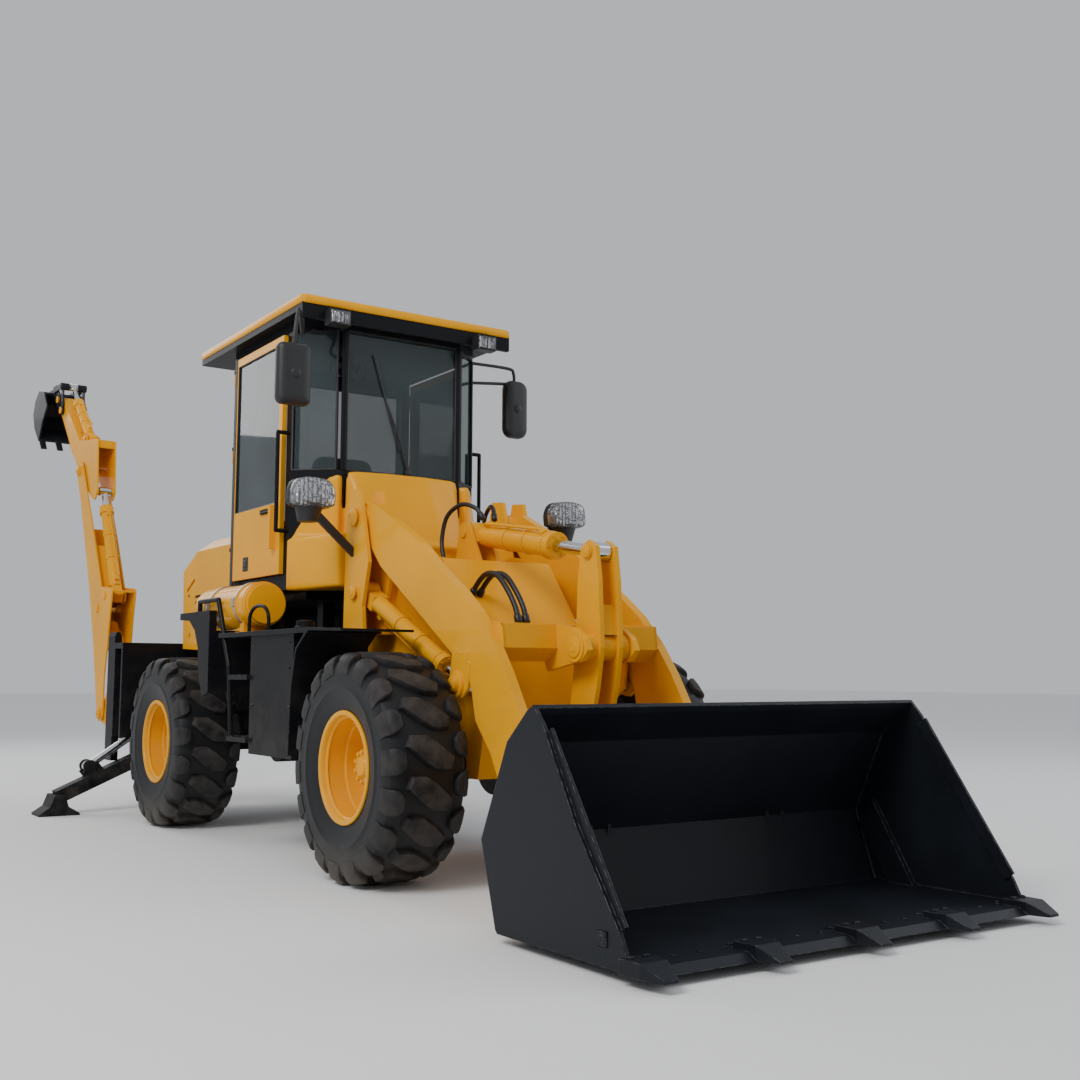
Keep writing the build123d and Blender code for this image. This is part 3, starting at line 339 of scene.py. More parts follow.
def rubber(name):
    """Tyre rubber: a tread attribute of 1 marks the lugs, which carry dust and fine scuffs; where
    it is 0, in the grooves and at the lugs' roots, the rubber stays near-black as painted shade.
    """
    graph = Graph(name)
    tread = graph.attribute("tread")
    grain = graph.noise(220, 4, 0.65)
    patch = graph.noise(14, 5, 0.6)
    # dust and scuffs on the lug tops are real dust; the grooves and lug roots outside this mask
    # stay near-black as painted shade
    lug_dust_groove_shade = (tread * patch.step(0.25, 0.8)).clamped()
    wall = graph.mix(patch, (0.007, 0.008, 0.010, 1), (0.014, 0.0145, 0.016, 1))
    base = graph.mix(lug_dust_groove_shade, wall, (0.060, 0.052, 0.047, 1))
    base = graph.mix((1.0 - graph.z.step(0.0, 0.25)) * patch * 0.6, base, tinted(DUST, 0.5))
    rough = 0.42 + grain * 0.12 + lug_dust_groove_shade * 0.36
    height = grain * 0.6 + graph.noise(45, 3) * 0.4 * tread
    return graph.finish(base, rough, height, 0.0012, Specular_IOR_Level=0.3)


def moulded(name, colour, rough, grain=320):
    """Moulded plastic with a fine grain."""
    graph = Graph(name)
    normal, edge = graph.rounded(0.003)
    pebble = graph.cells(grain)
    cloud = graph.noise(5, 3)
    base = graph.mix(cloud * 0.6 + edge * 0.3, rgba(colour), tinted(colour, 1.7))
    return graph.finish(base, rough + cloud * 0.12, pebble, 0.0004, normal)


def chrome(name):
    """Hard chrome of a cylinder's rod, with an oily film."""
    graph = Graph(name)
    smear = graph.noise(18, 4)
    base = graph.mix(smear, (0.75, 0.76, 0.78, 1), (0.6, 0.6, 0.6, 1))
    return graph.finish(base, 0.08 + smear * 0.14, graph.noise(300, 2), 0.0001, Metallic=1.0)


def bright_steel(name):
    graph = Graph(name)
    normal, edge = graph.rounded(0.0015)
    grain = graph.noise(90, 5)
    base = graph.mix(grain, (0.42, 0.41, 0.4, 1), (0.6, 0.59, 0.56, 1))
    return graph.finish(base, 0.3 + grain * 0.2, grain, 0.0003, normal, Metallic=0.9)


def tinted_glass(name, colour, clear):
    """Flat tinted glass that turns opaque and mirror-like towards grazing view."""
    graph = Graph(name)
    facing = graph.node("ShaderNodeLayerWeight", {}, {"Blend": 0.35}).outputs["Fresnel"]
    film = graph.noise(3.2, 3).step(0.35, 0.8)
    alpha = ((1.0 - clear) + Value(graph, facing) * 0.8 + film * 0.05).clamped()
    base = graph.mix(film * 0.35, rgba(colour), tinted(colour, 2.2))
    return graph.finish(base, 0.03 + film * 0.05, Alpha=alpha, Coat_Weight=1.0, Coat_Roughness=0.02)


def vinyl(name, colour):
    """Seat vinyl: creased leather grain with worn shine on the crown."""
    graph = Graph(name)
    grain = graph.cells(420, "DISTANCE_TO_EDGE").step(0.0, 0.25)
    crease = graph.noise(24, 6, 0.65)
    base = graph.mix(crease.step(0.4, 0.75), rgba(colour), tinted(colour, 1.9))
    return graph.finish(
        base,
        0.45 + crease * 0.2,
        grain * 0.6 + crease * 0.4,
        0.0007,
        Sheen_Weight=0.1,
    )


def reflector(name):
    """Facetted bright reflector behind a lamp's cover."""
    graph = Graph(name)
    facet = graph.cells(34)
    ribs = (graph.y * 260.0).math("SINE", graph.y * 260.0) * 0.5 + 0.5
    base = graph.mix(facet, (0.9, 0.9, 0.92, 1), (0.55, 0.56, 0.6, 1))
    return graph.finish(base, 0.08 + facet * 0.1, facet * 0.7 + ribs * 0.3, 0.012, Metallic=1.0)


def ground(name):
    graph = Graph(name)
    speck = graph.noise(30, 5)
    base = graph.mix(speck, (0.83, 0.83, 0.83, 1), (0.87, 0.87, 0.87, 1))
    return graph.finish(base, 0.75 + speck * 0.1)


# mesh making


class Mould:
    """Collects closed forms and makes one object of them."""

    def __init__(self):
        self.points = []
        self.faces = []
        self.marks = []

    def add(self, points, faces, mark=0.0):
        start = len(self.points)
        self.points.extend(Vector(point) for point in points)
        self.faces.extend([start + index for index in face] for face in faces)
        self.marks.extend([mark] * len(points))

    def rings(self, rings, mark=0.0, caps=True):
        """Joins loops of equally many points, and closes both ends."""
        count = len(rings[0])
        points = [point for ring in rings for point in ring]
        faces = []
        for level in range(len(rings) - 1):
            for step in range(count):
                after = (step + 1) % count
                low, high = level * count, (level + 1) * count
                faces.append([low + step, low + after, high + after, high + step])
        if caps:
            faces.append(list(range(count))[::-1])
            faces.append([len(points) - count + step for step in range(count)])
        self.add(points, faces, mark)

    def turned(self, centre, axis, section, sides=32, mark=0.0, closed=False):
        """Turns a section of (along, radius) pairs about an axis."""
        axis = Vector(axis).normalized()
        across = axis.orthogonal().normalized()
        third = axis.cross(across)
        rings = []
        for along, radius in section:
            ring = []
            for step in range(sides):
                turn = 2 * pi * step / sides
                out = across * cos(turn) + third * sin(turn)
                ring.append(Vector(centre) + axis * along + out * radius)
            rings.append(ring)
        if closed:
            rings.append(rings[0])
        self.rings(rings, mark, caps=not closed)

    def bolt(self, centre, axis, radius, height):
        """A hexagon head on a washer."""
        washer = radius * 1.35
        self.turned(
            centre,
            axis,
            [(0, washer), (height * 0.25, washer), (height * 0.25, radius)],
            20,
        )
        top = [(height * 0.2, radius), (height * 0.88, radius), (height, radius * 0.86)]
        self.turned(centre, axis, top, 6)

    def tube(self, path, radius, sides=12):
        """A round tube along a path of points."""
        rings = []
        side = None
        for index, point in enumerate(path):
            before = path[max(index - 1, 0)]
            after = path[min(index + 1, len(path) - 1)]
            axis = (Vector(after) - Vector(before)).normalized()
            if side is None:
                side = axis.orthogonal().normalized()
            side = (side - axis * side.dot(axis)).normalized()
            third = axis.cross(side)
            ring = []
            for step in range(sides):
                turn = 2 * pi * step / sides
                ring.append(Vector(point) + (side * cos(turn) + third * sin(turn)) * radius)
            rings.append(ring)
        self.rings(rings)

    def slab(self, low, high, chamfer=0.002):
        """A block with its edges broken."""
        low, high = Vector(low), Vector(high)
        rings = []
        levels = [
            (0, chamfer), (chamfer, 0), (high.z - low.z - chamfer, 0), (high.z - low.z, chamfer),
        ]
        for rise, inset in levels:
            corner = chamfer + inset
            x0, x1, y0, y1 = low.x + inset, high.x - inset, low.y + inset, high.y - inset
            z = low.z + rise
            rings.append(
                [
                    (x0 + corner, y0, z),
                    (x1 - corner, y0, z),
                    (x1, y0 + corner, z),
                    (x1, y1 - corner, z),
                    (x1 - corner, y1, z),
                    (x0 + corner, y1, z),
                    (x0, y1 - corner, z),
                    (x0, y0 + corner, z),
                ]
            )
        self.rings([[Vector(point) for point in ring] for ring in rings])

    def make(self, name, material, body, slot, smooth=40):
        mesh = bpy.data.meshes.new(name)
        mesh.from_pydata([tuple(point) for point in self.points], [], self.faces)
        mesh.validate()
        if any(self.marks):
            # these marks become the tyres' tread attribute: 1 on dusty lug tops, 0 in the grooves
            # and at lug roots, which stay near-black as painted shade
            layer = mesh.attributes.new("tread", "FLOAT", "POINT")
            layer.data.foreach_set("value", self.marks)
        mesh.shade_smooth()
        mesh.set_sharp_from_angle(angle=radians(smooth))
        mesh.materials.append(material)
        piece = bpy.data.objects.new(name, mesh)
        bpy.context.scene.collection.objects.link(piece)
        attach(piece, body)
        return piece


def smooth_path(points, steps=8):
    """A smooth run through given points."""
    ends = [points[0], *points, points[-1]]
    path = []
    for index in range(len(points) - 1):
        a, b, c, d = (Vector(ends[index + offset]) for offset in range(4))
        for step in range(steps):
            t = step / steps
            path.append(
                0.5 * (
                    2 * b + (c - a) * t + (
                        2 * a - 5 * b + 4 * c - d
                    ) * t**2 + (3 * b - a - 3 * c + d) * t**3
                )
            )
    path.append(Vector(points[-1]))
    return path


MATERIALS = {}


def node_material(nodes, material):
    for name in nodes:
        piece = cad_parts[name]
        for slot in piece.material_slots:
            slot.material = material
        if not piece.material_slots:
            piece.data.materials.append(material)


def softened(node, name, voxel, rounds, material, body):
    """A moulded form: the CAD node's solid with its edges rounded over."""
    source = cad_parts[node]
    solid = source.data.copy()
    solid.transform(source.matrix_world)
    piece = bpy.data.objects.new(name, solid)
    bpy.context.scene.collection.objects.link(piece)
    grid = piece.modifiers.new("grid", "REMESH")
    grid.mode = "VOXEL"
    grid.voxel_size = voxel
    smooth = piece.modifiers.new("smooth", "SMOOTH")
    smooth.factor = 0.5
    smooth.iterations = rounds
    graph = bpy.context.evaluated_depsgraph_get()
    mesh = bpy.data.meshes.new_from_object(piece.evaluated_get(graph))
    piece.modifiers.clear()
    piece.data = mesh
    mesh.materials.clear()
    mesh.materials.append(material)
    mesh.shade_smooth()
    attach(piece, body)
    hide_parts(node)


def rounded_sheet(low, high, corner, place, steps=6):
    """A loop round a rectangle with round corners; place turns its two sizes into a point."""
    loop = []
    middles = [(high[0] - corner, high[1] - corner), (low[0] + corner, high[1] - corner)]
    middles += [(low[0] + corner, low[1] + corner), (high[0] - corner, low[1] + corner)]
    for quarter, (a, b) in enumerate(middles):
        for step in range(steps + 1):
            turn = pi / 2 * (quarter + step / steps)
            loop.append(place(a + corner * cos(turn), b + corner * sin(turn)))
    return loop


def housing(mould, low, high, corner, levels, outwards=1):
    """A rounded box across the machine; each level is (x, inset)."""
    rings = []
    for x, inset in levels:
        place = lambda y, z, x=x: at(x, y, z)
        bounds = (low[0] + inset, low[1] + inset), (high[0] - inset, high[1] - inset)
        rings.append(rounded_sheet(*bounds, max(corner - inset, 0.004), place))
    mould.rings(rings if outwards > 0 else [ring[::-1] for ring in rings])


# what a user may change


class LoaderColours(bpy.types.PropertyGroup):
    body: FloatVectorProperty(
        name="Body paint", description="Colour of hood, arms and backhoe", subtype="COLOR",
        default=(0.90, 0.40, 0.0)
    )
    chassis: FloatVectorProperty(
        name="Chassis paint", description="Colour of frames, decks and cab", subtype="COLOR",
        default=(0.0075, 0.008, 0.0105)
    )
    tool: FloatVectorProperty(
        name="Bucket paint", description="Colour of the loader bucket", subtype="COLOR",
        default=(0.0055, 0.007, 0.0105)
    )
    glass: FloatVectorProperty(
        name="Glass tint", description="Colour of the cab's glass", subtype="COLOR",
        default=(0.03, 0.05, 0.055)
    )
    gloss: FloatProperty(
        name="Gloss",
        description="Shine of the body paint",
        default=0.72,
        min=0,
        max=1,
    )
    dust: FloatProperty(
        name="Dust",
        description="Dust low on the machine",
        default=0.14,
        min=0,
        max=1,
    )


class WheelSettings(bpy.types.PropertyGroup):
    pitches: IntProperty(
        name="Lug pitches",
        description="Rows of lugs round a tyre",
        default=18,
        min=8,
        max=40,
    )
    lug_depth: FloatProperty(
        name="Lug depth", description="Height of a lug over the casing",
        default=0.028, unit="LENGTH",
    )
    studs: IntProperty(
        name="Studs",
        description="Wheel studs round a hub",
        default=10,
        min=4,
        max=16,
    )


class CabSettings(bpy.types.PropertyGroup):
    seat_width: FloatProperty(
        name="Seat width",
        description="Width of the cushion",
        default=0.46,
        unit="LENGTH",
    )
    seam_depth: FloatProperty(
        name="Seam depth",
        description="Depth of a sewn seam",
        default=0.008,
        unit="LENGTH",
    )


class HydraulicSettings(bpy.types.PropertyGroup):
    hose_radius: FloatProperty(
        name="Hose radius",
        description="Outer radius of a hose",
        default=0.012,
        unit="LENGTH",
    )
    pipe_radius: FloatProperty(
        name="Pipe radius",
        description="Radius of a steel pipe",
        default=0.007,
        unit="LENGTH",
    )


class StageSettings(bpy.types.PropertyGroup):
    lens: FloatProperty(
        name="Lens",
        description="Camera lens in millimetres",
        default=42.18,
        min=10,
    )
    azimuth: FloatProperty(
        name="Heading", description="Camera heading off the machine's axis", subtype="ANGLE",
        default=radians(34.29),
    )
    pitch: FloatProperty(
        name="Pitch",
        description="Camera tilt upwards",
        subtype="ANGLE",
        default=radians(6.1),
    )
    roll: FloatProperty(
        name="Roll",
        description="Camera roll",
        subtype="ANGLE",
        default=radians(0.14),
    )
    key: FloatProperty(
        name="Key light",
        description="Power of the main light in watts",
        default=720,
        min=0,
    )
    sky: FloatProperty(name="Sky", description="Strength of the sky's light", default=0.62, min=0)


# wheels

# the tread attribute on a lug's rubber: the lug tops take dust, and where the mark is 0, in the
# grooves and at the lugs' roots, the rubber is left near-black as painted shade
TREAD = 1.0
# (across, radius) from the tyre's middle plane, from bead to crown
CASING = [
    (0.160, 0.250), (0.172, 0.258), (0.182, 0.285), (0.196, 0.330), (0.2015, 0.360),
    (0.2040, 0.364), (0.2040, 0.372), (0.2020, 0.376), (0.2035, 0.410), (0.2025, 0.440),
    (0.1975, 0.466), (0.1870, 0.489), (0.1650, 0.502), (0.1200, 0.508), (0.0600, 0.5095),
]
# (along, across) in millimetres, seen on the crown
MIDDLE_LUG = [
    (27, -114), (80, -96), (77, -20), (40, 36), (-27, 114), (-80, 96), (-77, 20), (-40, -36),
]
# (across, crown radius, half length along the tread)
SHOULDER_TOP = [
    (0.124, 0.524, 0.026), (0.130, 0.533, 0.034), (0.150, 0.533, 0.054), (0.176, 0.527, 0.061),
    (0.194, 0.511, 0.062), (0.203, 0.487, 0.060), (0.2055, 0.445, 0.056),
]
# (across, radius) from the wheel's middle plane, outwards positive
RIM_SECTION = [
    (-0.168, 0.250), (0.168, 0.250), (0.171, 0.262), (0.178, 0.2645), (0.184, 0.262),
    (0.1855, 0.254), (0.183, 0.243), (0.176, 0.238), (0.160, 0.236), (0.154, 0.228), (0.148, 0.226),
    (0.143, 0.232), (0.062, 0.228), (0.056, 0.219), (-0.010, 0.214), (-0.034, 0.200),
    (-0.052, 0.150), (-0.060, 0.112), (-0.084, 0.100), (-0.078, 0.150), (-0.064, 0.214),
    (-0.070, 0.230), (-0.150, 0.232), (-0.176, 0.237), (-0.184, 0.243), (-0.184, 0.260),
    (-0.172, 0.262),
]
HUB_SECTION = [
    (-0.084, 0.118), (-0.040, 0.112), (0.030, 0.096), (0.054, 0.088), (0.056, 0.083),
    (0.072, 0.083), (0.076, 0.079), (0.077, 0.054), (0.086, 0.050), (0.094, 0.040), (0.096, 0.012),
]


def wheel_point(centre, side, turn, across, radius):
    return centre + Vector((radius * sin(turn), side * across, radius * cos(turn)))


def middle_lug(mould, centre, side, turn, depth):
    """A long diagonal bar of the tread, stepped in from root to crown."""
    outline = []
    for start, end in zip(MIDDLE_LUG, MIDDLE_LUG[1:] + MIDDLE_LUG[:1]):
        for step in range(4):
            outline.append(tuple(a + (b - a) * step / 4 for a, b in zip(start, end)))
    root = TYRE_R - depth - 0.006
    rings = []
    levels = [
        (root, 1.08), (TYRE_R - 0.008, 0.99), (TYRE_R - 0.002, 0.965), (TYRE_R, 0.91),
        (TYRE_R, 0.6), (TYRE_R, 0.2),
    ]
    for radius, scale in levels:
        rings.append(
            [
                wheel_point(
                    centre, side, turn + along * scale / 1000 / TYRE_R, across * scale / 1000,
                    radius,
                )
                for along, across in outline
            ]
        )
    if side < 0:
        rings = [ring[::-1] for ring in rings]
    mould.rings(rings, TREAD)
    # the lug's foot ring is marked 0, so its sides darken towards the root as painted shade
    foot = len(mould.marks) - len(rings) * len(outline)
    mould.marks[foot : foot + len(outline)] = [0.0] * len(outline)


def shoulder_lug(mould, centre, side, turn, edge):
    """A block from crown to sidewall; edge is 1 on the outer shoulder, -1 on the inner."""
    low, chamfer = 0.432, 0.007
    rings = []
    for across, top, half in SHOULDER_TOP:
        section = [
            (-half - 0.006, low),
            (-half, top - chamfer),
            (-half + chamfer, top),
            (0.0, top + 0.0015),
            (half - chamfer, top),
            (half, top - chamfer),
            (half + 0.006, low),
            (0.0, low),
        ]
        ring = [
            wheel_point(centre, side, turn + along / TYRE_R, edge * across, radius)
            for along, radius in section
        ]
        rings.append(ring if side * edge < 0 else ring[::-1])
    mould.rings(rings, 0.7 * TREAD)
    # the block's low corners are marked 0, so it darkens towards the casing as painted shade
    foot = len(mould.marks) - len(rings) * len(section)
    for index in range(len(rings)):
        for corner in (0, 6, 7):
            mould.marks[foot + index * len(section) + corner] = 0.0


class LOADER_OT_wheels(bpy.types.Operator):
    """Makes the four tyres and their rims"""

    bl_idname = "loader.wheels"
    bl_label = "Tyres and rims"

    def execute(self, context):
        settings = context.scene.loader_wheels
        casing = CASING + [(-across, radius) for across, radius in reversed(CASING)]
        for end, axle in (("front", FRONT_AXLE), ("rear", REAR_AXLE)):
            for name, side in SIDES.items():
                place = f"{end}_{name}"
                centre = Vector((axle, middle("rim_" + place).y, TYRE_R))
                tyre = Mould()
                tyre.turned(centre, (0, -side, 0), casing, 108, closed=True)
                for pitch in range(settings.pitches):
                    turn = 2 * pi * pitch / settings.pitches
                    middle_lug(tyre, centre, side, turn, settings.lug_depth)
                    shoulder_lug(tyre, centre, side, turn + radians(4), 1)
                    shoulder_lug(tyre, centre, side, turn - radians(4), -1)
                piece = tyre.make(
                    "tyre_detail_" + place, MATERIALS["rubber"], "wheel_" + place, "tyre", 34,
                )
                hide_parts("tyre_" + place)
                rim = Mould()
                rim.turned(centre, (0, side, 0), RIM_SECTION, 96, closed=True)
                rim.turned(centre, (0, side, 0), HUB_SECTION, 72)
                for stud in range(settings.studs):
                    turn = 2 * pi * stud / settings.studs
                    spot = wheel_point(centre, side, turn, 0.075, 0.069)
                    rim.bolt(spot, (0, side, 0), 0.0105, 0.013)
                    rim.turned(
                        spot,
                        (0, side, 0),
                        [(-0.03, 0.014), (0.003, 0.014), (0.003, 0.011)],
                        12,
                    )
                valve = [
                    wheel_point(centre, side, 0.3, across, radius)
                    for across, radius in ((0.10, 0.236), (0.13, 0.222), (0.16, 0.214))
                ]
                rim.tube(valve, 0.005)
                piece = rim.make(
                    "rim_detail_" + place, MATERIALS["body"], "wheel_" + place, "yellow_paint", 32,
                )
                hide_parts("rim_" + place)
        return {"FINISHED"}


# cab


def signed_power(value, power):
    return (1 if value >= 0 else -1) * abs(value) ** power


def cushion(name, centre, half, lean, crown, seams, depth):
    """A stuffed pad with rounded corners, a crown on its upper face and sewn channels across it."""
    around, rise, power = 96, 48, 0.36
    turn = Matrix.Rotation(lean, 3, "Y")
    rings = []
    for level in range(1, rise):
        v = -pi / 2 + pi * level / rise
        ring = []
        for step in range(around):
            u = 2 * pi * step / around
            x = signed_power(cos(v), power) * signed_power(cos(u), power)
            y = signed_power(cos(v), power) * signed_power(sin(u), power)
            z = signed_power(sin(v), power)
            pull = 1 - 0.035 * (1 - min(1, abs(x * y) * 1.4))
            lift = crown * (1 - x * x) * (1 - y * y) if z > 0 else 0
            groove = sum(
                sin(pi / 2 * max(0, 1 - abs(y * half[1] - seam) / 0.014)) ** 2 for seam in seams
            )
            lift -= depth * groove * (1 if z > 0.5 else 0) * (1 - x**8)
            point = Vector((x * half[0] * pull, y * half[1] * pull, z * half[2] + lift))
            ring.append(Vector(centre) + turn @ point)
        rings.append(ring)
    mould = Mould()
    mould.rings(rings)
    piece = mould.make(name, MATERIALS["vinyl"], "machine", "seat", 60)
    return piece


def seal(mould, corners, radius=0.008):
    """A rubber strip round a window's corners."""
    mould.tube([*corners, corners[0], corners[1]], radius, 8)


def across_pane(x, half, low, high):
    """Corners of a pane that stands across the machine."""
    return [at(x, y, z) for y, z in ((-half, low), (half, low), (half, high), (-half, high))]


def lens_outline(scale, x, side):
    """The headlight's outline, counted from the front axle."""
    shape = [
        (-0.113, -0.066), (-0.118, 0.0), (-0.09, 0.056), (-0.04, 0.073), (0.052, 0.073),
        (0.1, 0.048),
    ]
    shape += [(0.113, -0.016), (0.096, -0.07), (-0.055, -0.078)]
    dense = smooth_path([Vector((y, z, 0)) for y, z in shape] + [Vector((*shape[0], 0))], 4)[:-1]
    ring = [
        at(x, side * (HEADLIGHT[0] + point.x * scale), HEADLIGHT[1] + point.y * scale)
        for point in dense
    ]
    return ring if side < 0 else ring[::-1]


def make_seat(settings):
    """Padded cushion and back on a bellows base with arm rests."""
    half = settings.seat_width / 2
    seams = [-half * 0.62, 0.0, half * 0.62]
    low = cushion(
        "seat_cushion", at(-1.875, 0, 1.735), (0.235, half, 0.06), radians(-3), 0.02, seams,
        settings.seam_depth,
    )
    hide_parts("seat")
    cushion(
        "seat_back", at(-2.088, 0, 2.09), (0.29, half - 0.02, 0.05), radians(101), 0.02, seams,
        settings.seam_depth,
    )
    base = Mould()
    base.slab(at(-2.05, -0.17, 1.5), at(-1.73, 0.17, 1.53), 0.004)
    for step in range(6):
        z = 1.53 + step * 0.022
        base.slab(
            at(-2.03 + 0.004 * (step % 2), -0.15, z),
            at(-1.75 - 0.004 * (step % 2), 0.15, z + 0.02),
            0.006,
        )
    base.slab(at(-2.09, -0.2, 1.66), at(-1.68, 0.2, 1.682), 0.005)
    for side in (-1, 1):
        base.slab(at(-2.08, side * 0.262 - 0.022, 1.86), at(-1.8, side * 0.262 + 0.022, 1.9), 0.01)
        base.tube(
            [
                at(-2.07, side * 0.235, 1.7), at(-2.07, side * 0.262, 1.76),
                at(-2.05, side * 0.262, 1.87),
            ],
            0.014,
        )
    base.make("seat_base", MATERIALS["plastic"], "machine", "black_plastic")


def make_window_trim():
    """Rubber seals of the panes, the wiper and the head lining."""
    trim = Mould()
    seal(trim, across_pane(WINDSCREEN_X, 0.366, 2.152, 2.98))
    for side in (-1, 1):
        rear, fore = (-1.436, side * 0.612), (-1.25, side * 0.418)
        corners = ((rear, 2.155), (fore, 2.155), (fore, 2.978), (rear, 2.978))
        seal(trim, [at(*foot, z) for foot, z in corners])
    seal(trim, across_pane(REAR_PANE_X, 0.556, 1.965, 2.895))
    trim.tube([at(-1.216, 0.04, 2.168), at(-1.214, -0.02, 2.36), at(-1.22, -0.1, 2.56)], 0.006)
    trim.tube([at(-1.224, -0.02, 2.3), at(-1.224, -0.2, 2.86)], 0.007)
    trim.turned(at(-1.228, 0.04, 2.168), (1, 0, 0), [(0, 0.022), (0.016, 0.02), (0.02, 0.012)], 20)
    trim.slab(at(-2.3, -0.55, 2.972), at(-1.3, 0.55, 2.984), 0.004)
    trim.make("window_seals", MATERIALS["plastic"], "machine", "black_plastic")


def make_fan():
    """The small fan that hangs behind the windscreen."""
    fan = Mould()
    hub = at(-1.36, -0.3, 2.8)
    for radius in (0.03, 0.055, 0.08, 0.1):
        for x in (-0.02, 0.02):
            ring = [
                hub + Vector((x, radius * cos(turn), radius * sin(turn)))
                for turn in [2 * pi * i / 32 for i in range(33)]
            ]
            fan.tube(ring, 0.0022, 6)
    for blade in range(5):
        turn = 2 * pi * blade / 5
        tip = [
            hub + Vector(
                (0.012 * offset, r * cos(turn + 0.35 * offset), r * sin(turn + 0.35 * offset))
            )
            for r, offset in ((0.015, -1), (0.085, -1), (0.085, 1), (0.015, 1))
        ]
        fan.rings(
            [
                [point - Vector((0.0015, 0, 0)) for point in tip],
                [point + Vector((0.0015, 0, 0)) for point in tip],
            ]
        )
    fan.turned(hub, (1, 0, 0), [(-0.05, 0.025), (0.02, 0.028), (0.028, 0.015)], 24)
    fan.tube(
        [
            hub + Vector((-0.03, 0, 0)), hub + Vector((-0.03, 0, 0.1)),
            hub + Vector((-0.03, 0, 0.19)),
        ],
        0.008,
    )
    fan.make("cab_fan", MATERIALS["plastic"], "machine", "black_plastic")


def make_door_trim():
    """Window seals, hinge strip, lock, handle and hinge bolts of both doors."""
    for name, side in SIDES.items():
        door = Mould()
        for y in (0.642, 0.629):
            corners = ((-2.234, 1.977), (-1.556, 1.977), (-1.556, 2.923), (-2.234, 2.923))
            seal(door, [at(x, side * y, z) for x, z in corners], 0.007)
        skin, out = side * DOOR_SKIN_Y, side * 0.6535

        def plate(low_x, high_x, low_z, high_z, far, chamfer=0.003):
            door.slab(at(low_x, min(skin, far), low_z), at(high_x, max(skin, far), high_z), chamfer)

        plate(-2.288, -2.247, 1.52, 2.985, out)
        plate(-2.07, -1.985, 1.60, 1.685, out)
        plate(-2.05, -2.005, 1.62, 1.665, side * 0.657)
        plate(-1.80, -1.62, 1.925, 1.95, side * 0.660, 0.006)
        plate(-1.66, -1.61, 1.905, 1.965, out)
        door.make("door_trim_" + name, MATERIALS["plastic"], "door_" + name, "black_plastic")
        stripe = Mould()
        for z in (1.7, 2.35, 2.85):
            for x in (-2.285, -2.262):
                stripe.bolt(at(x, side * 0.6495, z - 0.02), (0, side, 0), 0.005, 0.004)
        stripe.make("hinge_bolts_" + name, MATERIALS["steel"], "door_" + name, "chrome")


def make_mirrors():
    """Mirror cases on their bars, which stand for the CAD mirrors, and their faces."""
    glass = Mould()
    # low and high (y, z) corners, corner radius, x of the face
    sides = {
        "right": ((-1.040, 2.366), (-0.852, 2.694), 0.035, -0.680),
        "left": ((0.866, 2.516), (1.040, 2.898), 0.06, -1.470),
    }
    bars = {
        "right": [
            [
                (-0.65, -0.95, 2.68), (-0.65, -0.935, 2.84), (-0.7, -0.90, 2.89),
                (-1.145, -0.69, 2.90), (-1.145, -0.69, 2.99),
            ]
        ],
        "left": [
            [
                (-1.455, 0.95, 2.88), (-1.455, 0.945, 2.95), (-1.455, 0.90, 2.978),
                (-1.455, 0.62, 2.975),
            ],
            [(-1.455, 0.95, 2.87), (-1.455, 0.88, 2.872), (-1.455, 0.62, 2.845)],
        ],
    }
    for name, (low, high, corner, x) in sides.items():
        mirror = Mould()
        levels = [
            (x + 0.004, 0.004), (x, 0.001), (x + 0.006, 0.0), (x + 0.03, 0.0), (x + 0.046, 0.008),
            (x + 0.056, 0.024), (x + 0.06, 0.05),
        ]
        housing(mirror, low, high, corner, levels)
        for path in bars[name]:
            mirror.tube(smooth_path([at(*point) for point in path], 5), 0.0105)
        middle_y, middle_z = (low[0] + high[0]) / 2, (low[1] + high[1]) / 2
        mirror.turned(
            at(x + 0.045, middle_y, middle_z), (1, 0, 0),
            [(0, 0.03), (0.018, 0.028), (0.024, 0.018)], 24,
        )
        piece = mirror.make(
            "mirror_case_" + name, MATERIALS["plastic"], "machine", "black_plastic", 50,
        )
        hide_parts("mirror_" + name)
        housing(
            glass,
            low,
            high,
            corner,
            [(x + 0.002, 0.012), (x - 0.001, 0.012), (x - 0.002, 0.016)],
            -1,
        )
    glass.make("mirror_faces", MATERIALS["mirror"], "machine", "chrome", 20)


def make_roof():
    """The roof's and the cowl's shells with soft edges, and the roof's bolts."""
    lid = Mould()
    rings = []
    for z, out in (
        (3.078, 0.004), (3.082, 0.008), (3.118, 0.008), (3.128, 0.002), (3.131, -0.012),
        (3.132, -0.044), (3.143, -0.056), (3.146, -0.075),
    ):
        place = lambda x, y, z=z: at(x, y, z)
        rings.append(
            rounded_sheet((-2.786 - out, -0.70 - out), (-1.13 + out, 0.70 + out), 0.03, place)
        )
    lid.rings(rings)
    piece = lid.make("roof_shell", MATERIALS["body"], "machine", "yellow_paint", 50)
    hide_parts("roof_panel")
    softened("cowl", "cowl_shell", 0.012, 9, MATERIALS["body"], "machine")

    panel = Mould()
    for side in (-1, 1):
        for x in (-1.3, -2.6):
            panel.bolt(at(x, side * 0.56, 3.144), (0, 0, 1), 0.01, 0.006)
    panel.make("roof_bolts", MATERIALS["steel"], "machine", "chrome")


class LOADER_OT_cab(bpy.types.Operator):
    """Makes the seat, window seals, wiper, fan, door trim, mirrors, roof and cowl shells"""

    bl_idname = "loader.cab"
    bl_label = "Cab"

    def execute(self, context):
        make_seat(context.scene.loader_cab)
        make_window_trim()
        make_fan()
        make_door_trim()
        make_mirrors()
        make_roof()
        return {"FINISHED"}


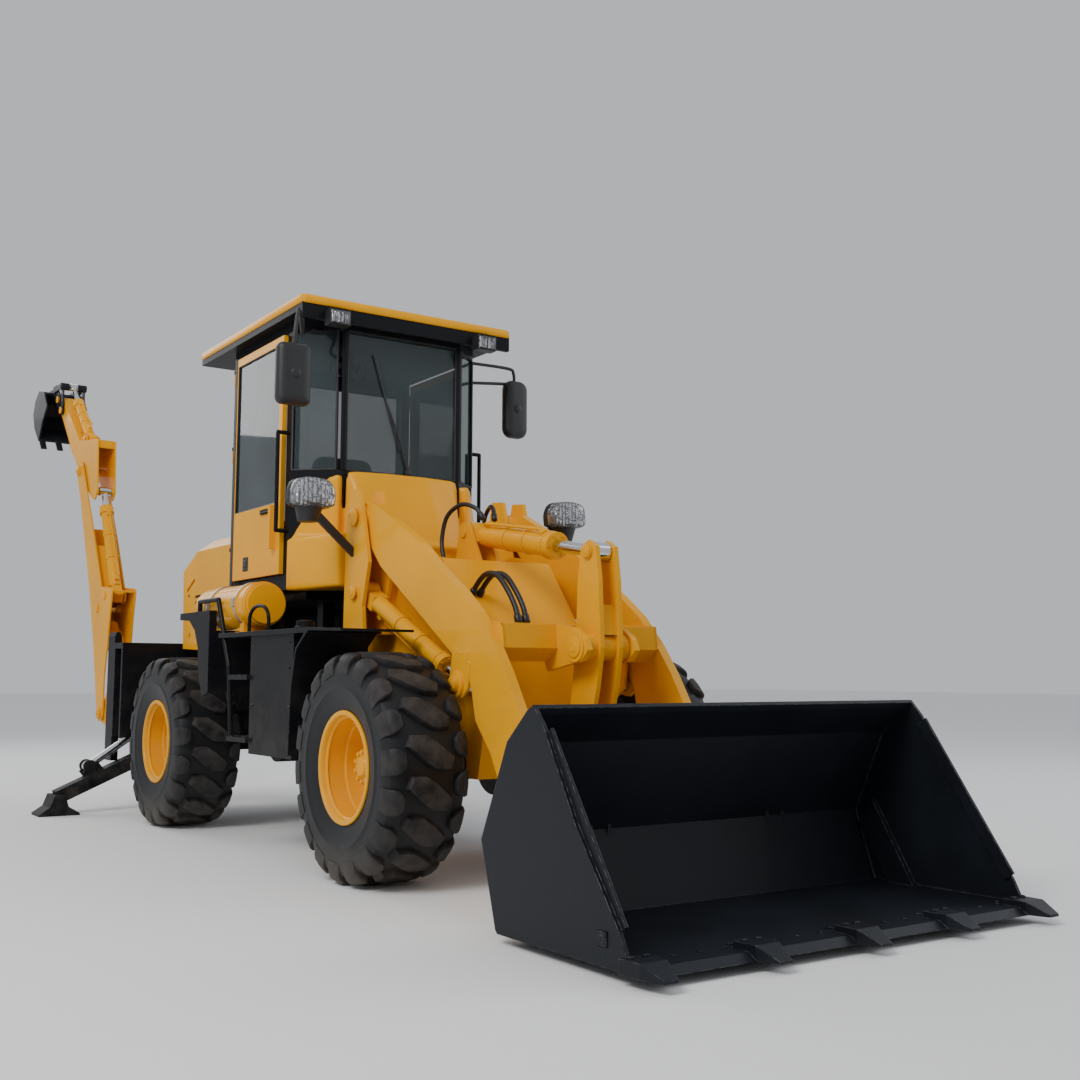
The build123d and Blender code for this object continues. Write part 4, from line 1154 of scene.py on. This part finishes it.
class LOADER_OT_lamps(bpy.types.Operator):
    """Makes the lamps' reflectors and covers"""

    bl_idname = "loader.lamps"
    bl_label = "Lamps"

    def execute(self, context):
        bright, cover, bezel = Mould(), Mould(), Mould()
        for side in (-1, 1):
            face = [(1.0, -0.700), (0.99, -0.652), (0.95, -0.638), (0.7, -0.635), (0.3, -0.636)]
            bright.rings([lens_outline(scale, x, side) for scale, x in face])
            dome = [
                (1.02, -0.702), (1.03, -0.668), (1.01, -0.644), (0.94, -0.627), (0.72, -0.616),
                (0.3, -0.611),
            ]
            cover.rings([lens_outline(scale, x, side) for scale, x in dome])
            edge = [(1.01, -0.742), (1.045, -0.738), (1.05, -0.704), (1.02, -0.698)]
            bezel.rings([lens_outline(scale, x, side) for scale, x in edge])
            for y, z, radius in (
                (0.765, 1.922, 0.046), (0.845, 1.926, 0.05), (0.898, 1.905, 0.022),
                (0.728, 1.90, 0.016),
            ):
                bowl = [
                    (0.0, radius), (0.007, radius * 0.98), (0.007, radius * 0.9),
                    (-0.006, radius * 0.7), (-0.012, radius * 0.35),
                ]
                bright.turned(at(-0.6355, side * y, z), (1, 0, 0), bowl, 36)
                bright.turned(
                    at(-0.642, side * y, z),
                    (1, 0, 0),
                    [(0, radius * 0.2), (0.014, radius * 0.18), (0.018, radius * 0.08)],
                    16,
                )
            y, z = side * 0.495, 3.005
            for mould, grow, x in ((bright, 0.0, -1.0595), (cover, 0.006, -1.0575)):
                mould.slab(
                    at(x - 0.004, y - 0.054 - grow, z - 0.034 - grow),
                    at(x + 0.003, y + 0.054 + grow, z + 0.034 + grow),
                    0.003,
                )
            for line in (-0.036, 0.0, 0.036):
                bezel.slab(
                    at(-1.062, y + line - 0.001, z - 0.036),
                    at(-1.0535, y + line + 0.001, z + 0.036), 0.0004,
                )
        bright.make("lamp_reflectors", MATERIALS["reflector"], "machine", "chrome", 60)
        cover.make("lamp_covers", MATERIALS["clear"], "machine", "glass", 60)
        bezel.make("lamp_bezels", MATERIALS["plastic"], "machine", "black_plastic")
        return {"FINISHED"}


# hood, decks and frame


def make_deck_loop():
    """The grab loop on the right deck and both decks' caps."""
    loop = Mould()
    loop.tube(
        smooth_path(
            [
                at(-1.3, -0.9, 1.2), at(-1.29, -0.9, 1.29), at(-1.22, -0.9, 1.335),
                at(-1.1, -0.9, 1.335), at(-1.03, -0.9, 1.29), at(-1.02, -0.9, 1.2),
            ]
        ),
        0.01,
    )
    cap = [(0, 0.06), (0.018, 0.06), (0.024, 0.05), (0.05, 0.048), (0.056, 0.03)]
    for side in (1, -1):
        loop.turned(at(-0.86, side * 0.76, 1.2), (0, 0, 1), cap, 36)
    loop.make("deck_loop_and_caps", MATERIALS["chassis"], "machine", "black_paint")


def make_cleaner_bands():
    """The air cleaner's two clamped bands."""
    band = Mould()
    for x in (-1.53, -1.95):
        band.turned(
            at(x - 0.014, -0.775, 1.365),
            (1, 0, 0),
            [(0, 0.126), (0.0, 0.1335), (0.028, 0.1335), (0.028, 0.126)],
            64,
        )
        band.slab(at(x - 0.012, -0.92, 1.35), at(x + 0.012, -0.9, 1.395), 0.002)
        band.bolt(at(x, -0.912, 1.395), (0, 0, 1), 0.007, 0.012)
    band.make("cleaner_bands", MATERIALS["steel"], "machine", "chrome")


class LOADER_OT_bodywork(bpy.types.Operator):
    """Makes louvre blades, radiator screens, deck fittings, caps and cleaner bands"""

    bl_idname = "loader.bodywork"
    bl_label = "Bodywork"

    def execute(self, context):
        blades, dark, fittings = Mould(), Mould(), Mould()
        for side in (-1, 1):
            near, far = sorted((side * 0.43, side * 0.44))
            dark.slab(at(-3.44, near, 1.28), at(-3.04, far, 1.56), 0.002)
            for row in range(6):
                z = 1.3 + row * 0.042
                ring = [
                    (0.452, z + 0.019), (0.486, z + 0.004), (0.486, z + 0.0015),
                    (0.452, z + 0.0165),
                ]
                rings = [[at(x, side * y, height) for y, height in ring] for x in (-3.418, -3.062)]
                blades.rings(rings if side < 0 else rings[::-1])
            for x in (-3.55, -2.9, -2.44):
                fittings.bolt(at(x, side * 0.48, 1.53), (0, side, 0), 0.008, 0.005)
            fittings.bolt(at(-2.62, side * 0.486, 1.572), (0, side, 0), 0.01, 0.006)
            for x in (-1.58, -1.2, -0.9, -0.5):
                fittings.bolt(at(x, side * 0.9, 1.2), (0, 0, 1), 0.008, 0.005)
            for z in (0.62, 0.8, 1.0, 1.13):
                for x in (-1.15, -0.66):
                    fittings.bolt(at(x, side * 0.93, z), (0, side, 0), 0.007, 0.004)
            for bar in range(7):
                x = -1.46 + bar * 0.04
                near, far = sorted((side * 0.71, side * 0.945))
                for low, high in ((0.622, 0.627), (0.962, 0.967)):
                    fittings.slab(at(x, near, low), at(x + 0.008, far, high), 0.001)
            for height in (0.6, 0.85, 1.14):
                fittings.bolt(at(-4.05, side * 0.875, height), (-1, 0, 0), 0.012, 0.008)
        dark.slab(at(-3.6, -0.36, 1.2), at(-3.59, 0.36, 1.66), 0.002)
        for column in range(24):
            y = -0.33 + column * 0.0287
            blades.slab(at(-3.612, y - 0.002, 1.22), at(-3.606, y + 0.002, 1.64), 0.0008)
        blades.make("hood_louvres", MATERIALS["chassis"], "machine", "black_paint")
        dark.make("radiator_screens", MATERIALS["plastic"], "machine", "black_plastic")
        fittings.make("deck_fittings", MATERIALS["chassis_trim"], "machine", "black_paint")
        make_deck_loop()
        make_cleaner_bands()
        return {"FINISHED"}


# loader


def capped_pin(mould, centre, side, radius, bolts=3, thickness=0.008):
    """A pin's end plate with its ring of bolts."""
    axis = Vector((0, side, 0))
    section = [
        (0, radius), (thickness * 0.8, radius), (thickness, radius * 0.94),
        (thickness, radius * 0.5), (thickness * 1.4, radius * 0.46),
    ]
    mould.turned(centre, axis, section, 40)
    for bolt in range(bolts):
        turn = 2 * pi * bolt / bolts + 0.4
        spot = Vector(centre) + Vector(
            (cos(turn), 0, sin(turn))
        ) * radius * 0.72 + axis * thickness * 0.9
        mould.bolt(spot, axis, radius * 0.13, radius * 0.1)


def weld(mould, path, radius=0.005):
    """A rippled weld bead along straight runs."""
    dense = []
    for start, end in zip(path, path[1:]):
        start, end = Vector(start), Vector(end)
        count = max(2, int((end - start).length / 0.012))
        dense.extend(start.lerp(end, step / count) for step in range(count))
    dense.append(Vector(path[-1]))
    rings = []
    for index, point in enumerate(dense):
        before, after = dense[max(index - 1, 0)], dense[min(index + 1, len(dense) - 1)]
        axis = (after - before).normalized()
        across = axis.orthogonal().normalized()
        third = axis.cross(across)
        swell = radius * (1.0 + 0.18 * (index % 2))
        rings.append(
            [point + (across * cos(pi / 3 * k) + third * sin(pi / 3 * k)) * swell for k in range(6)]
        )
    mould.rings(rings)


class LOADER_OT_tool(bpy.types.Operator):
    """Makes pins, bolts and welds of the arms, the bell crank and the loader bucket"""

    bl_idname = "loader.tool"
    bl_label = "Loader arms and bucket"

    def execute(self, context):
        pins, frame_pins, crank, shovel = Mould(), Mould(), Mould(), Mould()
        for side in (-1, 1):
            capped_pin(frame_pins, pin(ARM_PIVOT, side * 0.548), side, 0.05)
            capped_pin(frame_pins, pin(LIFT_BASE, side * 0.548), side, 0.036)
            capped_pin(pins, pin(LIFT_EYE, side * 0.53), side, 0.034, 0)
            pins.turned(
                pin(LIFT_EYE, side * 0.5), (0, side, 0),
                [(0, 0.062), (0.014, 0.062), (0.018, 0.056)], 40,
            )
            capped_pin(pins, pin(BUCKET_PIN, side * 0.507), side, 0.06, 0, 0.004)
            capped_pin(pins, pin(CRANK_PIVOT, side * 0.158), side, 0.05, 0, 0.006)
            weld(
                pins,
                [
                    at(0.42, side * 0.447, 1.06), at(0.42, side * 0.447, 1.215),
                    at(0.6, side * 0.447, 1.2), at(0.615, side * 0.447, 1.09),
                ],
            )
            weld(pins, [at(0.42, side * 0.152, 1.217), at(0.6, side * 0.152, 1.203)])
            capped_pin(crank, pin(CRANK_TOP, side * 0.076), side, 0.03, 0, 0.006)
            capped_pin(crank, pin(CRANK_LOW, side * 0.076), side, 0.03, 0, 0.006)
            weld(
                crank,
                [
                    at(0.66, side * 0.041, 1.15), at(0.69, side * 0.041, 1.29),
                    at(0.79, side * 0.041, 1.29), at(0.815, side * 0.041, 1.15),
                ],
                0.004,
            )
            inner = 0.996
            profile = [(1.468, 0.062), (1.363, 0.361), (1.533, 0.72), (1.66, 0.83)]
            weld(shovel, [at(x + 0.004, side * inner, z) for x, z in profile], 0.006)
            weld(shovel, [at(1.47, side * inner, 0.063), at(2.2, side * inner, 0.063)], 0.006)
            pad_face = BUCKET_HALF + 0.005
            near, far = sorted((side * BUCKET_HALF, side * pad_face))
            shovel.slab(at(2.07, near, 0.1), at(2.12, far, 0.15), 0.003)
            shovel.turned(
                at(2.095, side * pad_face, 0.125), (0, side, 0), [(0, 0.014), (0.004, 0.013)], 24,
            )
            capped_pin(shovel, pin(BUCKET_PIN, side * 0.526), side, 0.05, 3, 0.006)
        for tooth in range(5):
            y = (tooth - 2) * (BUCKET_HALF - TOOTH_INSET) / 2
            for x, z in ((2.15, 0.06), (2.225, 0.085)):
                for offset in (-0.03, 0.03):
                    shovel.turned(
                        at(x, y + offset, z), (0, 0, 1),
                        [(0, 0.013), (0.006, 0.012), (0.009, 0.006)], 16,
                    )
        for bolt in range(17):
            y = -0.9 + bolt * 0.1125
            shovel.turned(
                at(2.18, y, 0.06), (0, 0, 1), [(0, 0.01), (0.004, 0.009), (0.006, 0.004)], 14,
            )
        frame_pins.make("tower_pins", MATERIALS["body"], "machine", "yellow_paint")
        pins.make("arm_pins_and_welds", MATERIALS["body"], "arms", "yellow_paint")
        crank.make("crank_pins_and_welds", MATERIALS["body"], "crank", "yellow_paint")
        shovel.make("bucket_bolts_and_welds", MATERIALS["tool"], "bucket", "dark_steel")
        return {"FINISHED"}


# hydraulics

PIPE_ROOM = 0.14


def dress_cylinder(mould, base, eye, start, end, radius, side, pipe, gland=True):
    """Port blocks, the pipe to the far port and the gland's bolts of one cylinder.

    side points at the pipe, which a short barrel has no room for.
    """
    base, eye, side = Vector(base), Vector(eye), Vector(side).normalized()
    axis = (eye - base).normalized()
    side = (side - axis * side.dot(axis)).normalized()
    across = axis.cross(side)
    near, far = start + 0.05, end - 0.085
    for spot in (near, far):
        foot = base + axis * spot
        rings = []
        for rise, half in ((radius * 0.8, 0.02), (radius + 0.018, 0.02), (radius + 0.022, 0.016)):
            rings.append(
                [
                    foot + side * rise + axis * a * half + across * b * half * 0.8
                    for a, b in ((-1, -1), (1, -1), (1, 1), (-1, 1))
                ]
            )
        mould.rings(rings)
    if far - near > PIPE_ROOM:
        lift = radius + 0.026
        run = [
            base + axis * far + side * (radius + 0.01),
            base + axis * (far - 0.02) + side * lift,
            base + axis * (far - 0.06) + side * lift,
            base + axis * (near + 0.06) + side * lift + across * 0.012,
            base + axis * (near + 0.02) + side * lift + across * 0.02,
        ]
        mould.tube(smooth_path(run, 5), pipe, 10)
        for clamp in (0.35, 0.7):
            foot = base + axis * (near + (far - near) * clamp)
            mould.turned(
                foot - axis * 0.012,
                axis,
                [
                    (0, radius + 0.001), (0.0, radius + 0.005), (0.024, radius + 0.005),
                    (0.024, radius + 0.001),
                ],
                40,
            )
    if not gland:
        return
    mould.turned(
        base + axis * (end - 0.062),
        axis,
        [
            (0, radius + 0.0085), (0.0, radius + 0.011), (0.014, radius + 0.011),
            (0.014, radius + 0.0085),
        ],
        40,
    )
    for bolt in range(6):
        turn = 2 * pi * bolt / 6
        out = side * cos(turn) + across * sin(turn)
        spot = base + axis * (end - 0.001) + out * (radius - 0.006)
        mould.bolt(spot, axis, 0.006, 0.007)


def hose(name, points, radius, bodies):
    """A rubber hose with its crimped ferrules, laid along a curve between two bodies."""
    path = smooth_path(points, 8)
    mould = Mould()
    mould.tube(path, radius, 14)
    for first, second in ((path[0], path[1]), (path[-1], path[-2])):
        axis = (second - first).normalized()
        mould.turned(
            first - axis * 0.006,
            axis,
            [
                (0, radius * 1.1), (0.004, radius * 1.35), (0.04, radius * 1.35),
                (0.046, radius * 1.05),
            ],
            20,
        )
    mesh = bpy.data.meshes.new(name)
    mesh.from_pydata([tuple(point) for point in mould.points], [], mould.faces)
    mesh.shade_smooth()
    mesh.materials.append(MATERIALS["hose"])
    piece = bpy.data.objects.new(name, mesh)
    bpy.context.scene.collection.objects.link(piece)
    if bodies[0] == bodies[1]:
        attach(piece, bodies[0])
    else:
        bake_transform(piece)
    return piece


def dipper_place(along, above):
    """Reach and height of a point along the dipper and above its line."""
    reach = BOOM_TOP[0] + along * cos(DIPPER_LEAN) - above * sin(DIPPER_LEAN)
    height = BOOM_TOP[1] + along * sin(DIPPER_LEAN) + above * cos(DIPPER_LEAN)
    return reach, height


def boom_back(height):
    """Reach of the boom's rear face, which bends at its knee."""
    (low_reach, low), (knee_reach, knee) = BOOM_BACK_LOW, BOOM_BACK_KNEE
    if height < knee:
        return low_reach + (height - low) * (knee_reach - low_reach) / (knee - low)
    return knee_reach + (height - knee) * BOOM_BACK_SLOPE


def trim_loader_cylinders(pipe):
    """Ports, pipes and gland bolts of the lift and tilt cylinders."""
    lift = Mould()
    for side in (-1, 1):
        dress_cylinder(
            lift, pin(LIFT_BASE, side * LIFT_Y), pin(LIFT_EYE, side * LIFT_Y), 0.15, 0.94, 0.046,
            (-0.4, 0, -1), pipe,
        )
    lift.make("lift_cylinder_trim", MATERIALS["body"], "lift_barrels", "yellow_paint")
    tilt = Mould()
    dress_cylinder(
        tilt, pin(TILT_BASE, 0), pin(CRANK_TOP, 0), 0.135, 0.79, 0.06, (0.1, -0.55, 0.85),
        pipe * 1.2,
    )
    tilt.make("tilt_cylinder_trim", MATERIALS["body"], "tilt_barrel", "yellow_paint")


def trim_backhoe_cylinders(pipe):
    """Ports, pipes and gland bolts of the boom, dipper and bucket cylinders."""
    # body, base and eye (reach, height), start and end of the tube from its base, radius
    rear = [
        ("boom_barrel", BOOM_BASE, BOOM_EYE, 0.19, 0.56, 0.042),
        ("dipper_barrel", DIPPER_BASE, DIPPER_EYE, 0.085, 0.8, 0.045),
        ("dig_barrel", dipper_place(*DIG_BASE), dipper_place(*DIG_EYE), 0.075, 0.56, 0.038),
    ]
    for body, base, eye, start, end, radius in rear:
        mould = Mould()
        low, high = behind(base[0], 0, base[1]), behind(eye[0], 0, eye[1])
        away = Vector((0, 1, 0))
        if body != "boom_barrel":
            away = away.cross(high - low)
        dress_cylinder(mould, low, high, start, end, radius, away, pipe)
        mould.make(body + "_trim", MATERIALS["body"], body, "yellow_paint")


def trim_stabilisers(pipe):
    """Ports of the stabilisers' short barrels."""
    for name, side in SIDES.items():
        mould = Mould()
        base, eye = (
            at(STABILISER_X, side * y, z) for y, z in (STABILISER_BASE, STABILISER_EYE)
        )
        dress_cylinder(mould, base, eye, 0.04, 0.22, 0.042, (0, side * 0.6, 0.8), pipe, False)
        mould.make(
            "stab_barrel_trim_" + name, MATERIALS["chassis"], "stab_barrel_" + name, "black_paint",
        )


def make_hoses(radius):
    """Two hoses to the tilt cylinder and two over to the arms."""
    for offset in (-0.035, 0.035):
        points = [
            at(-0.235, offset, 1.79),
            at(-0.28, offset * 1.6, 1.85),
            at(-0.37, offset * 2.6, 1.875),
            at(-0.47, offset * 3.4, 1.82),
            at(-0.5, offset * 3.8, 1.7),
            at(-0.47, offset * 4.0, 1.6),
            at(-0.44, offset * 4.0, 1.54),
        ]
        name = "tilt_hose_" + ("right" if offset < 0 else "left")
        hose(name, points, radius, ("tilt_barrel", "machine"))
    for index, y in enumerate((-0.2, -0.245)):
        points = [
            at(0.0, y, 1.365),
            at(0.05, y, 1.415),
            at(0.14, y - 0.005, 1.46),
            at(0.25, y - 0.01, 1.45),
            at(0.34, y - 0.01, 1.38),
            at(0.4, y, 1.29),
            at(0.43, y, 1.215),
        ]
        hose(
            f"arm_hose_{index + 1}",
            points,
            radius * 1.15,
            ("machine", "arms"),
        )


class LOADER_OT_hydraulics(bpy.types.Operator):
    """Makes ports, pipes, gland bolts and hoses of the cylinders"""

    bl_idname = "loader.hydraulics"
    bl_label = "Hydraulics"

    def execute(self, context):
        settings = context.scene.loader_hydraulics
        trim_loader_cylinders(settings.pipe_radius)
        trim_backhoe_cylinders(settings.pipe_radius)
        trim_stabilisers(settings.pipe_radius)
        make_hoses(settings.hose_radius)
        return {"FINISHED"}


class LOADER_OT_backhoe(bpy.types.Operator):
    """Makes pin caps, clamps, bolts and welds of the backhoe"""

    bl_idname = "loader.backhoe"
    bl_label = "Backhoe"

    def execute(self, context):
        boom, dipper, tool = Mould(), Mould(), Mould()
        for side in (-1, 1):
            axis = behind(0, side, 0) - behind(0, 0, 0)
            for reach, height in (BOOM_FOOT, BOOM_TOP):
                boom.turned(
                    behind(reach, side * 0.108, height), axis,
                    [(0, 0.036), (0.005, 0.036), (0.007, 0.03)], 32,
                )
                boom.bolt(behind(reach, side * 0.113, height), axis, 0.012, 0.009)
            for reach, height in (BOOM_EYE, DIPPER_BASE):
                boom.turned(
                    behind(reach, side * 0.095, height), axis,
                    [(0, 0.034), (0.007, 0.034), (0.009, 0.028)], 32,
                )
            reach, height = dipper_place(*DIG_BASE)
            dipper.turned(
                behind(reach, side * 0.06, height), axis,
                [(0, 0.026), (0.006, 0.026), (0.008, 0.02)], 28,
            )
            for along, above in (DIG_PIN, ROCKER_PIN):
                reach, height = dipper_place(along, above)
                dipper.turned(
                    behind(reach, side * 0.104, height), axis,
                    [(0, 0.03), (0.005, 0.03), (0.007, 0.024)], 28,
                )
            edge = [dipper_place(0.3, -0.062), dipper_place(0.9, -0.055)]
            weld(dipper, [behind(reach, side * 0.0765, height) for reach, height in edge], 0.004)
        for height in (1.25, 1.6, 1.95):
            reach = boom_back(height)
            low, high = behind(reach + 0.02, -0.062, height - 0.012), behind(
                reach + 0.02, 0.062, height + 0.012,
            )
            boom.slab((low.x - 0.012, low.y, low.z), (low.x + 0.012, high.y, high.z), 0.003)
        for tooth in (-0.14, 0.0, 0.14):
            for along in (0.93, 0.97):
                reach, height = dipper_place(along, -0.4475)
                lean = behind(-sin(DIPPER_LEAN), 0, cos(DIPPER_LEAN)) - behind(0, 0, 0)
                tool.bolt(behind(reach, tooth, height), -lean, 0.009, 0.007)
        boom.make("boom_pins_and_clamps", MATERIALS["body"], "boom", "yellow_paint")
        dipper.make("dipper_pins_and_welds", MATERIALS["body"], "dipper", "yellow_paint")
        tool.make("digging_bucket_bolts", MATERIALS["tool"], "digging_bucket", "dark_steel")
        return {"FINISHED"}


# materials and stage

BODY_NODES = [
    "front_frame", "hood", "cowl", "air_cleaner", "roof_panel", "door_left", "door_right",
    "loader_arms", "bell_crank", "bucket_link", "lift_barrels", "tilt_barrel", "kingpost", "boom",
    "boom_barrel", "dipper", "dipper_barrel", "dig_barrel",
]
CHASSIS_NODES = [
    "chassis_frame", "front_axle", "rear_axle", "knuckle_left", "knuckle_right", "side_decks",
    "backhoe_frame", "shift_carriage", "cab_frame", "cab_roof", "engine_block", "stab_leg_left",
    "stab_leg_right", "stab_barrel_left", "stab_barrel_right",
]
ROD_NODES = [
    "lift_rods", "tilt_rod", "boom_rod", "dipper_rod", "dig_rod", "stab_rod_left", "stab_rod_right",
]


class LOADER_OT_materials(bpy.types.Operator):
    """Mixes the materials and gives them to the CAD nodes"""

    bl_idname = "loader.materials"
    bl_label = "Materials"

    def execute(self, context):
        colours = context.scene.loader_colours
        body, chassis = tuple(colours.body), tuple(colours.chassis)
        MATERIALS.update(
            body=paint("body_paint", body, colours.gloss, colours.dust, 0.25),
            chassis=paint("chassis_paint", chassis, 0.5, colours.dust * 0.8, 0.4),
            chassis_trim=paint(
                "trim_paint", tuple(c * 1.6 for c in chassis), 0.45, colours.dust * 0.7, 0.8,
            ),
            tool=plate_steel("bucket_steel", tuple(colours.tool)),
            rubber=rubber("tyre_rubber"),
            plastic=moulded("black_plastic", (0.012, 0.012, 0.014), 0.42),
            hose=moulded("hose_rubber", (0.009, 0.009, 0.01), 0.38, 180),
            chrome=chrome("rod_chrome"),
            steel=bright_steel("zinc_steel"),
            mirror=chrome("mirror_face"),
            reflector=reflector("lamp_reflector"),
            glass=tinted_glass("cab_glass", tuple(colours.glass), 0.62),
            clear=tinted_glass("lamp_cover", (0.35, 0.36, 0.38), 0.82),
            vinyl=vinyl("seat_vinyl", (0.016, 0.016, 0.018)),
        )
        node_material(BODY_NODES, MATERIALS["body"])
        node_material(CHASSIS_NODES, MATERIALS["chassis"])
        node_material(ROD_NODES, MATERIALS["chrome"])
        node_material(["cab_glass", "door_glass_left", "door_glass_right"], MATERIALS["glass"])
        node_material(["controls", "mirror_left", "mirror_right", "lamps"], MATERIALS["plastic"])
        node_material(["loader_bucket", "digging_bucket", "rocker", "push_link"], MATERIALS["tool"])
        return {"FINISHED"}


def lay_floor(scene):
    """A large pale floor."""
    mesh = bpy.data.meshes.new("floor")
    corners = [(x * FLOOR_HALF, y * FLOOR_HALF, 0) for x, y in ((-1, -1), (1, -1), (1, 1), (-1, 1))]
    mesh.from_pydata(corners, [], [(0, 1, 2, 3)])
    mesh.materials.append(ground("pale_floor"))
    floor = bpy.data.objects.new("floor", mesh)
    scene.collection.objects.link(floor)


def set_lights(scene, settings):
    """An even sky and three area lights aimed at the machine."""
    world = bpy.data.worlds.new("sky")
    scene.world = world
    world.use_nodes = True
    background = world.node_tree.nodes["Background"]
    background.inputs["Color"].default_value = (0.93, 0.96, 1.0, 1)
    background.inputs["Strength"].default_value = settings.sky
    middle_x = (CAD_LOW.x + CAD_HIGH.x) / 2
    # name, place, size, power, colour
    lights = [
        ("key_light", (5.0, -8.0, 8.5), 4.5, settings.key, (1.0, 0.98, 0.95)),
        ("fill_light", (5.0, 9.0, 6.0), 8.0, settings.key * 0.35, (0.92, 0.96, 1.0)),
        ("rear_light", (-9.0, -2.0, 7.0), 6.0, settings.key * 0.4, (1.0, 1.0, 1.0)),
    ]
    for name, place, size, power, colour in lights:
        light = bpy.data.lights.new(name, "AREA")
        light.size = size
        light.energy = power
        light.color = colour
        lamp = bpy.data.objects.new(name, light)
        lamp.location = place
        aim = Vector((middle_x, 0, LIGHT_AIM_HEIGHT)) - Vector(place)
        lamp.rotation_euler = aim.to_track_quat("-Z", "Y").to_euler()
        scene.collection.objects.link(lamp)


def set_camera(scene, settings):
    """The photograph's camera."""
    heading, pitch = settings.azimuth, settings.pitch
    forward = Vector((-cos(heading) * cos(pitch), sin(heading) * cos(pitch), sin(pitch)))
    right = Vector((sin(heading), cos(heading), 0))
    up = right.cross(forward)
    turned = Matrix((right, up, -forward)).transposed() @ Matrix.Rotation(settings.roll, 3, "Z")
    camera = bpy.data.cameras.new("camera")
    camera.lens = settings.lens
    camera.sensor_width = 36
    viewer = bpy.data.objects.new("camera", camera)
    viewer.matrix_world = Matrix.Translation(at(*CAMERA_PLACE)) @ turned.to_4x4()
    scene.collection.objects.link(viewer)
    scene.camera = viewer


class LOADER_OT_stage(bpy.types.Operator):
    """Lays the floor and sets the lights and the photograph's camera"""

    bl_idname = "loader.stage"
    bl_label = "Stage"

    def execute(self, context):
        scene = context.scene
        lay_floor(scene)
        set_lights(scene, scene.loader_stage)
        set_camera(scene, scene.loader_stage)
        return {"FINISHED"}


class LOADER_PT_panel(bpy.types.Panel):
    """Lists the loader's pieces and their settings"""

    bl_idname = "LOADER_PT_panel"
    bl_label = "Backhoe loader"
    bl_space_type = "VIEW_3D"
    bl_region_type = "UI"
    bl_category = "Loader"

    def draw(self, context):
        for group in SETTINGS:
            settings = getattr(context.scene, group)
            box = self.layout.box()
            for key in settings.bl_rna.properties.keys():
                if key not in ("rna_type", "name"):
                    box.prop(settings, key)
        for operator in OPERATORS:
            self.layout.operator(operator.bl_idname)


SETTINGS = {
    "loader_colours": LoaderColours,
    "loader_wheels": WheelSettings,
    "loader_cab": CabSettings,
    "loader_hydraulics": HydraulicSettings,
    "loader_stage": StageSettings,
}
OPERATORS = [
    LOADER_OT_materials, LOADER_OT_stage, LOADER_OT_wheels, LOADER_OT_cab, LOADER_OT_lamps,
    LOADER_OT_bodywork, LOADER_OT_tool, LOADER_OT_hydraulics, LOADER_OT_backhoe,
]


def register():
    for group in [*SETTINGS.values(), *OPERATORS, LOADER_PT_panel]:
        bpy.utils.register_class(group)
    for name, group in SETTINGS.items():
        setattr(bpy.types.Scene, name, bpy.props.PointerProperty(type=group))


def unregister():
    for name in SETTINGS:
        delattr(bpy.types.Scene, name)
    for group in [LOADER_PT_panel, *reversed(OPERATORS), *reversed(SETTINGS.values())]:
        bpy.utils.unregister_class(group)


def main():
    register()
    for operator in OPERATORS:
        group, name = operator.bl_idname.split(".")
        getattr(getattr(bpy.ops, group), name)()


if __name__ == "__main__":
    main()
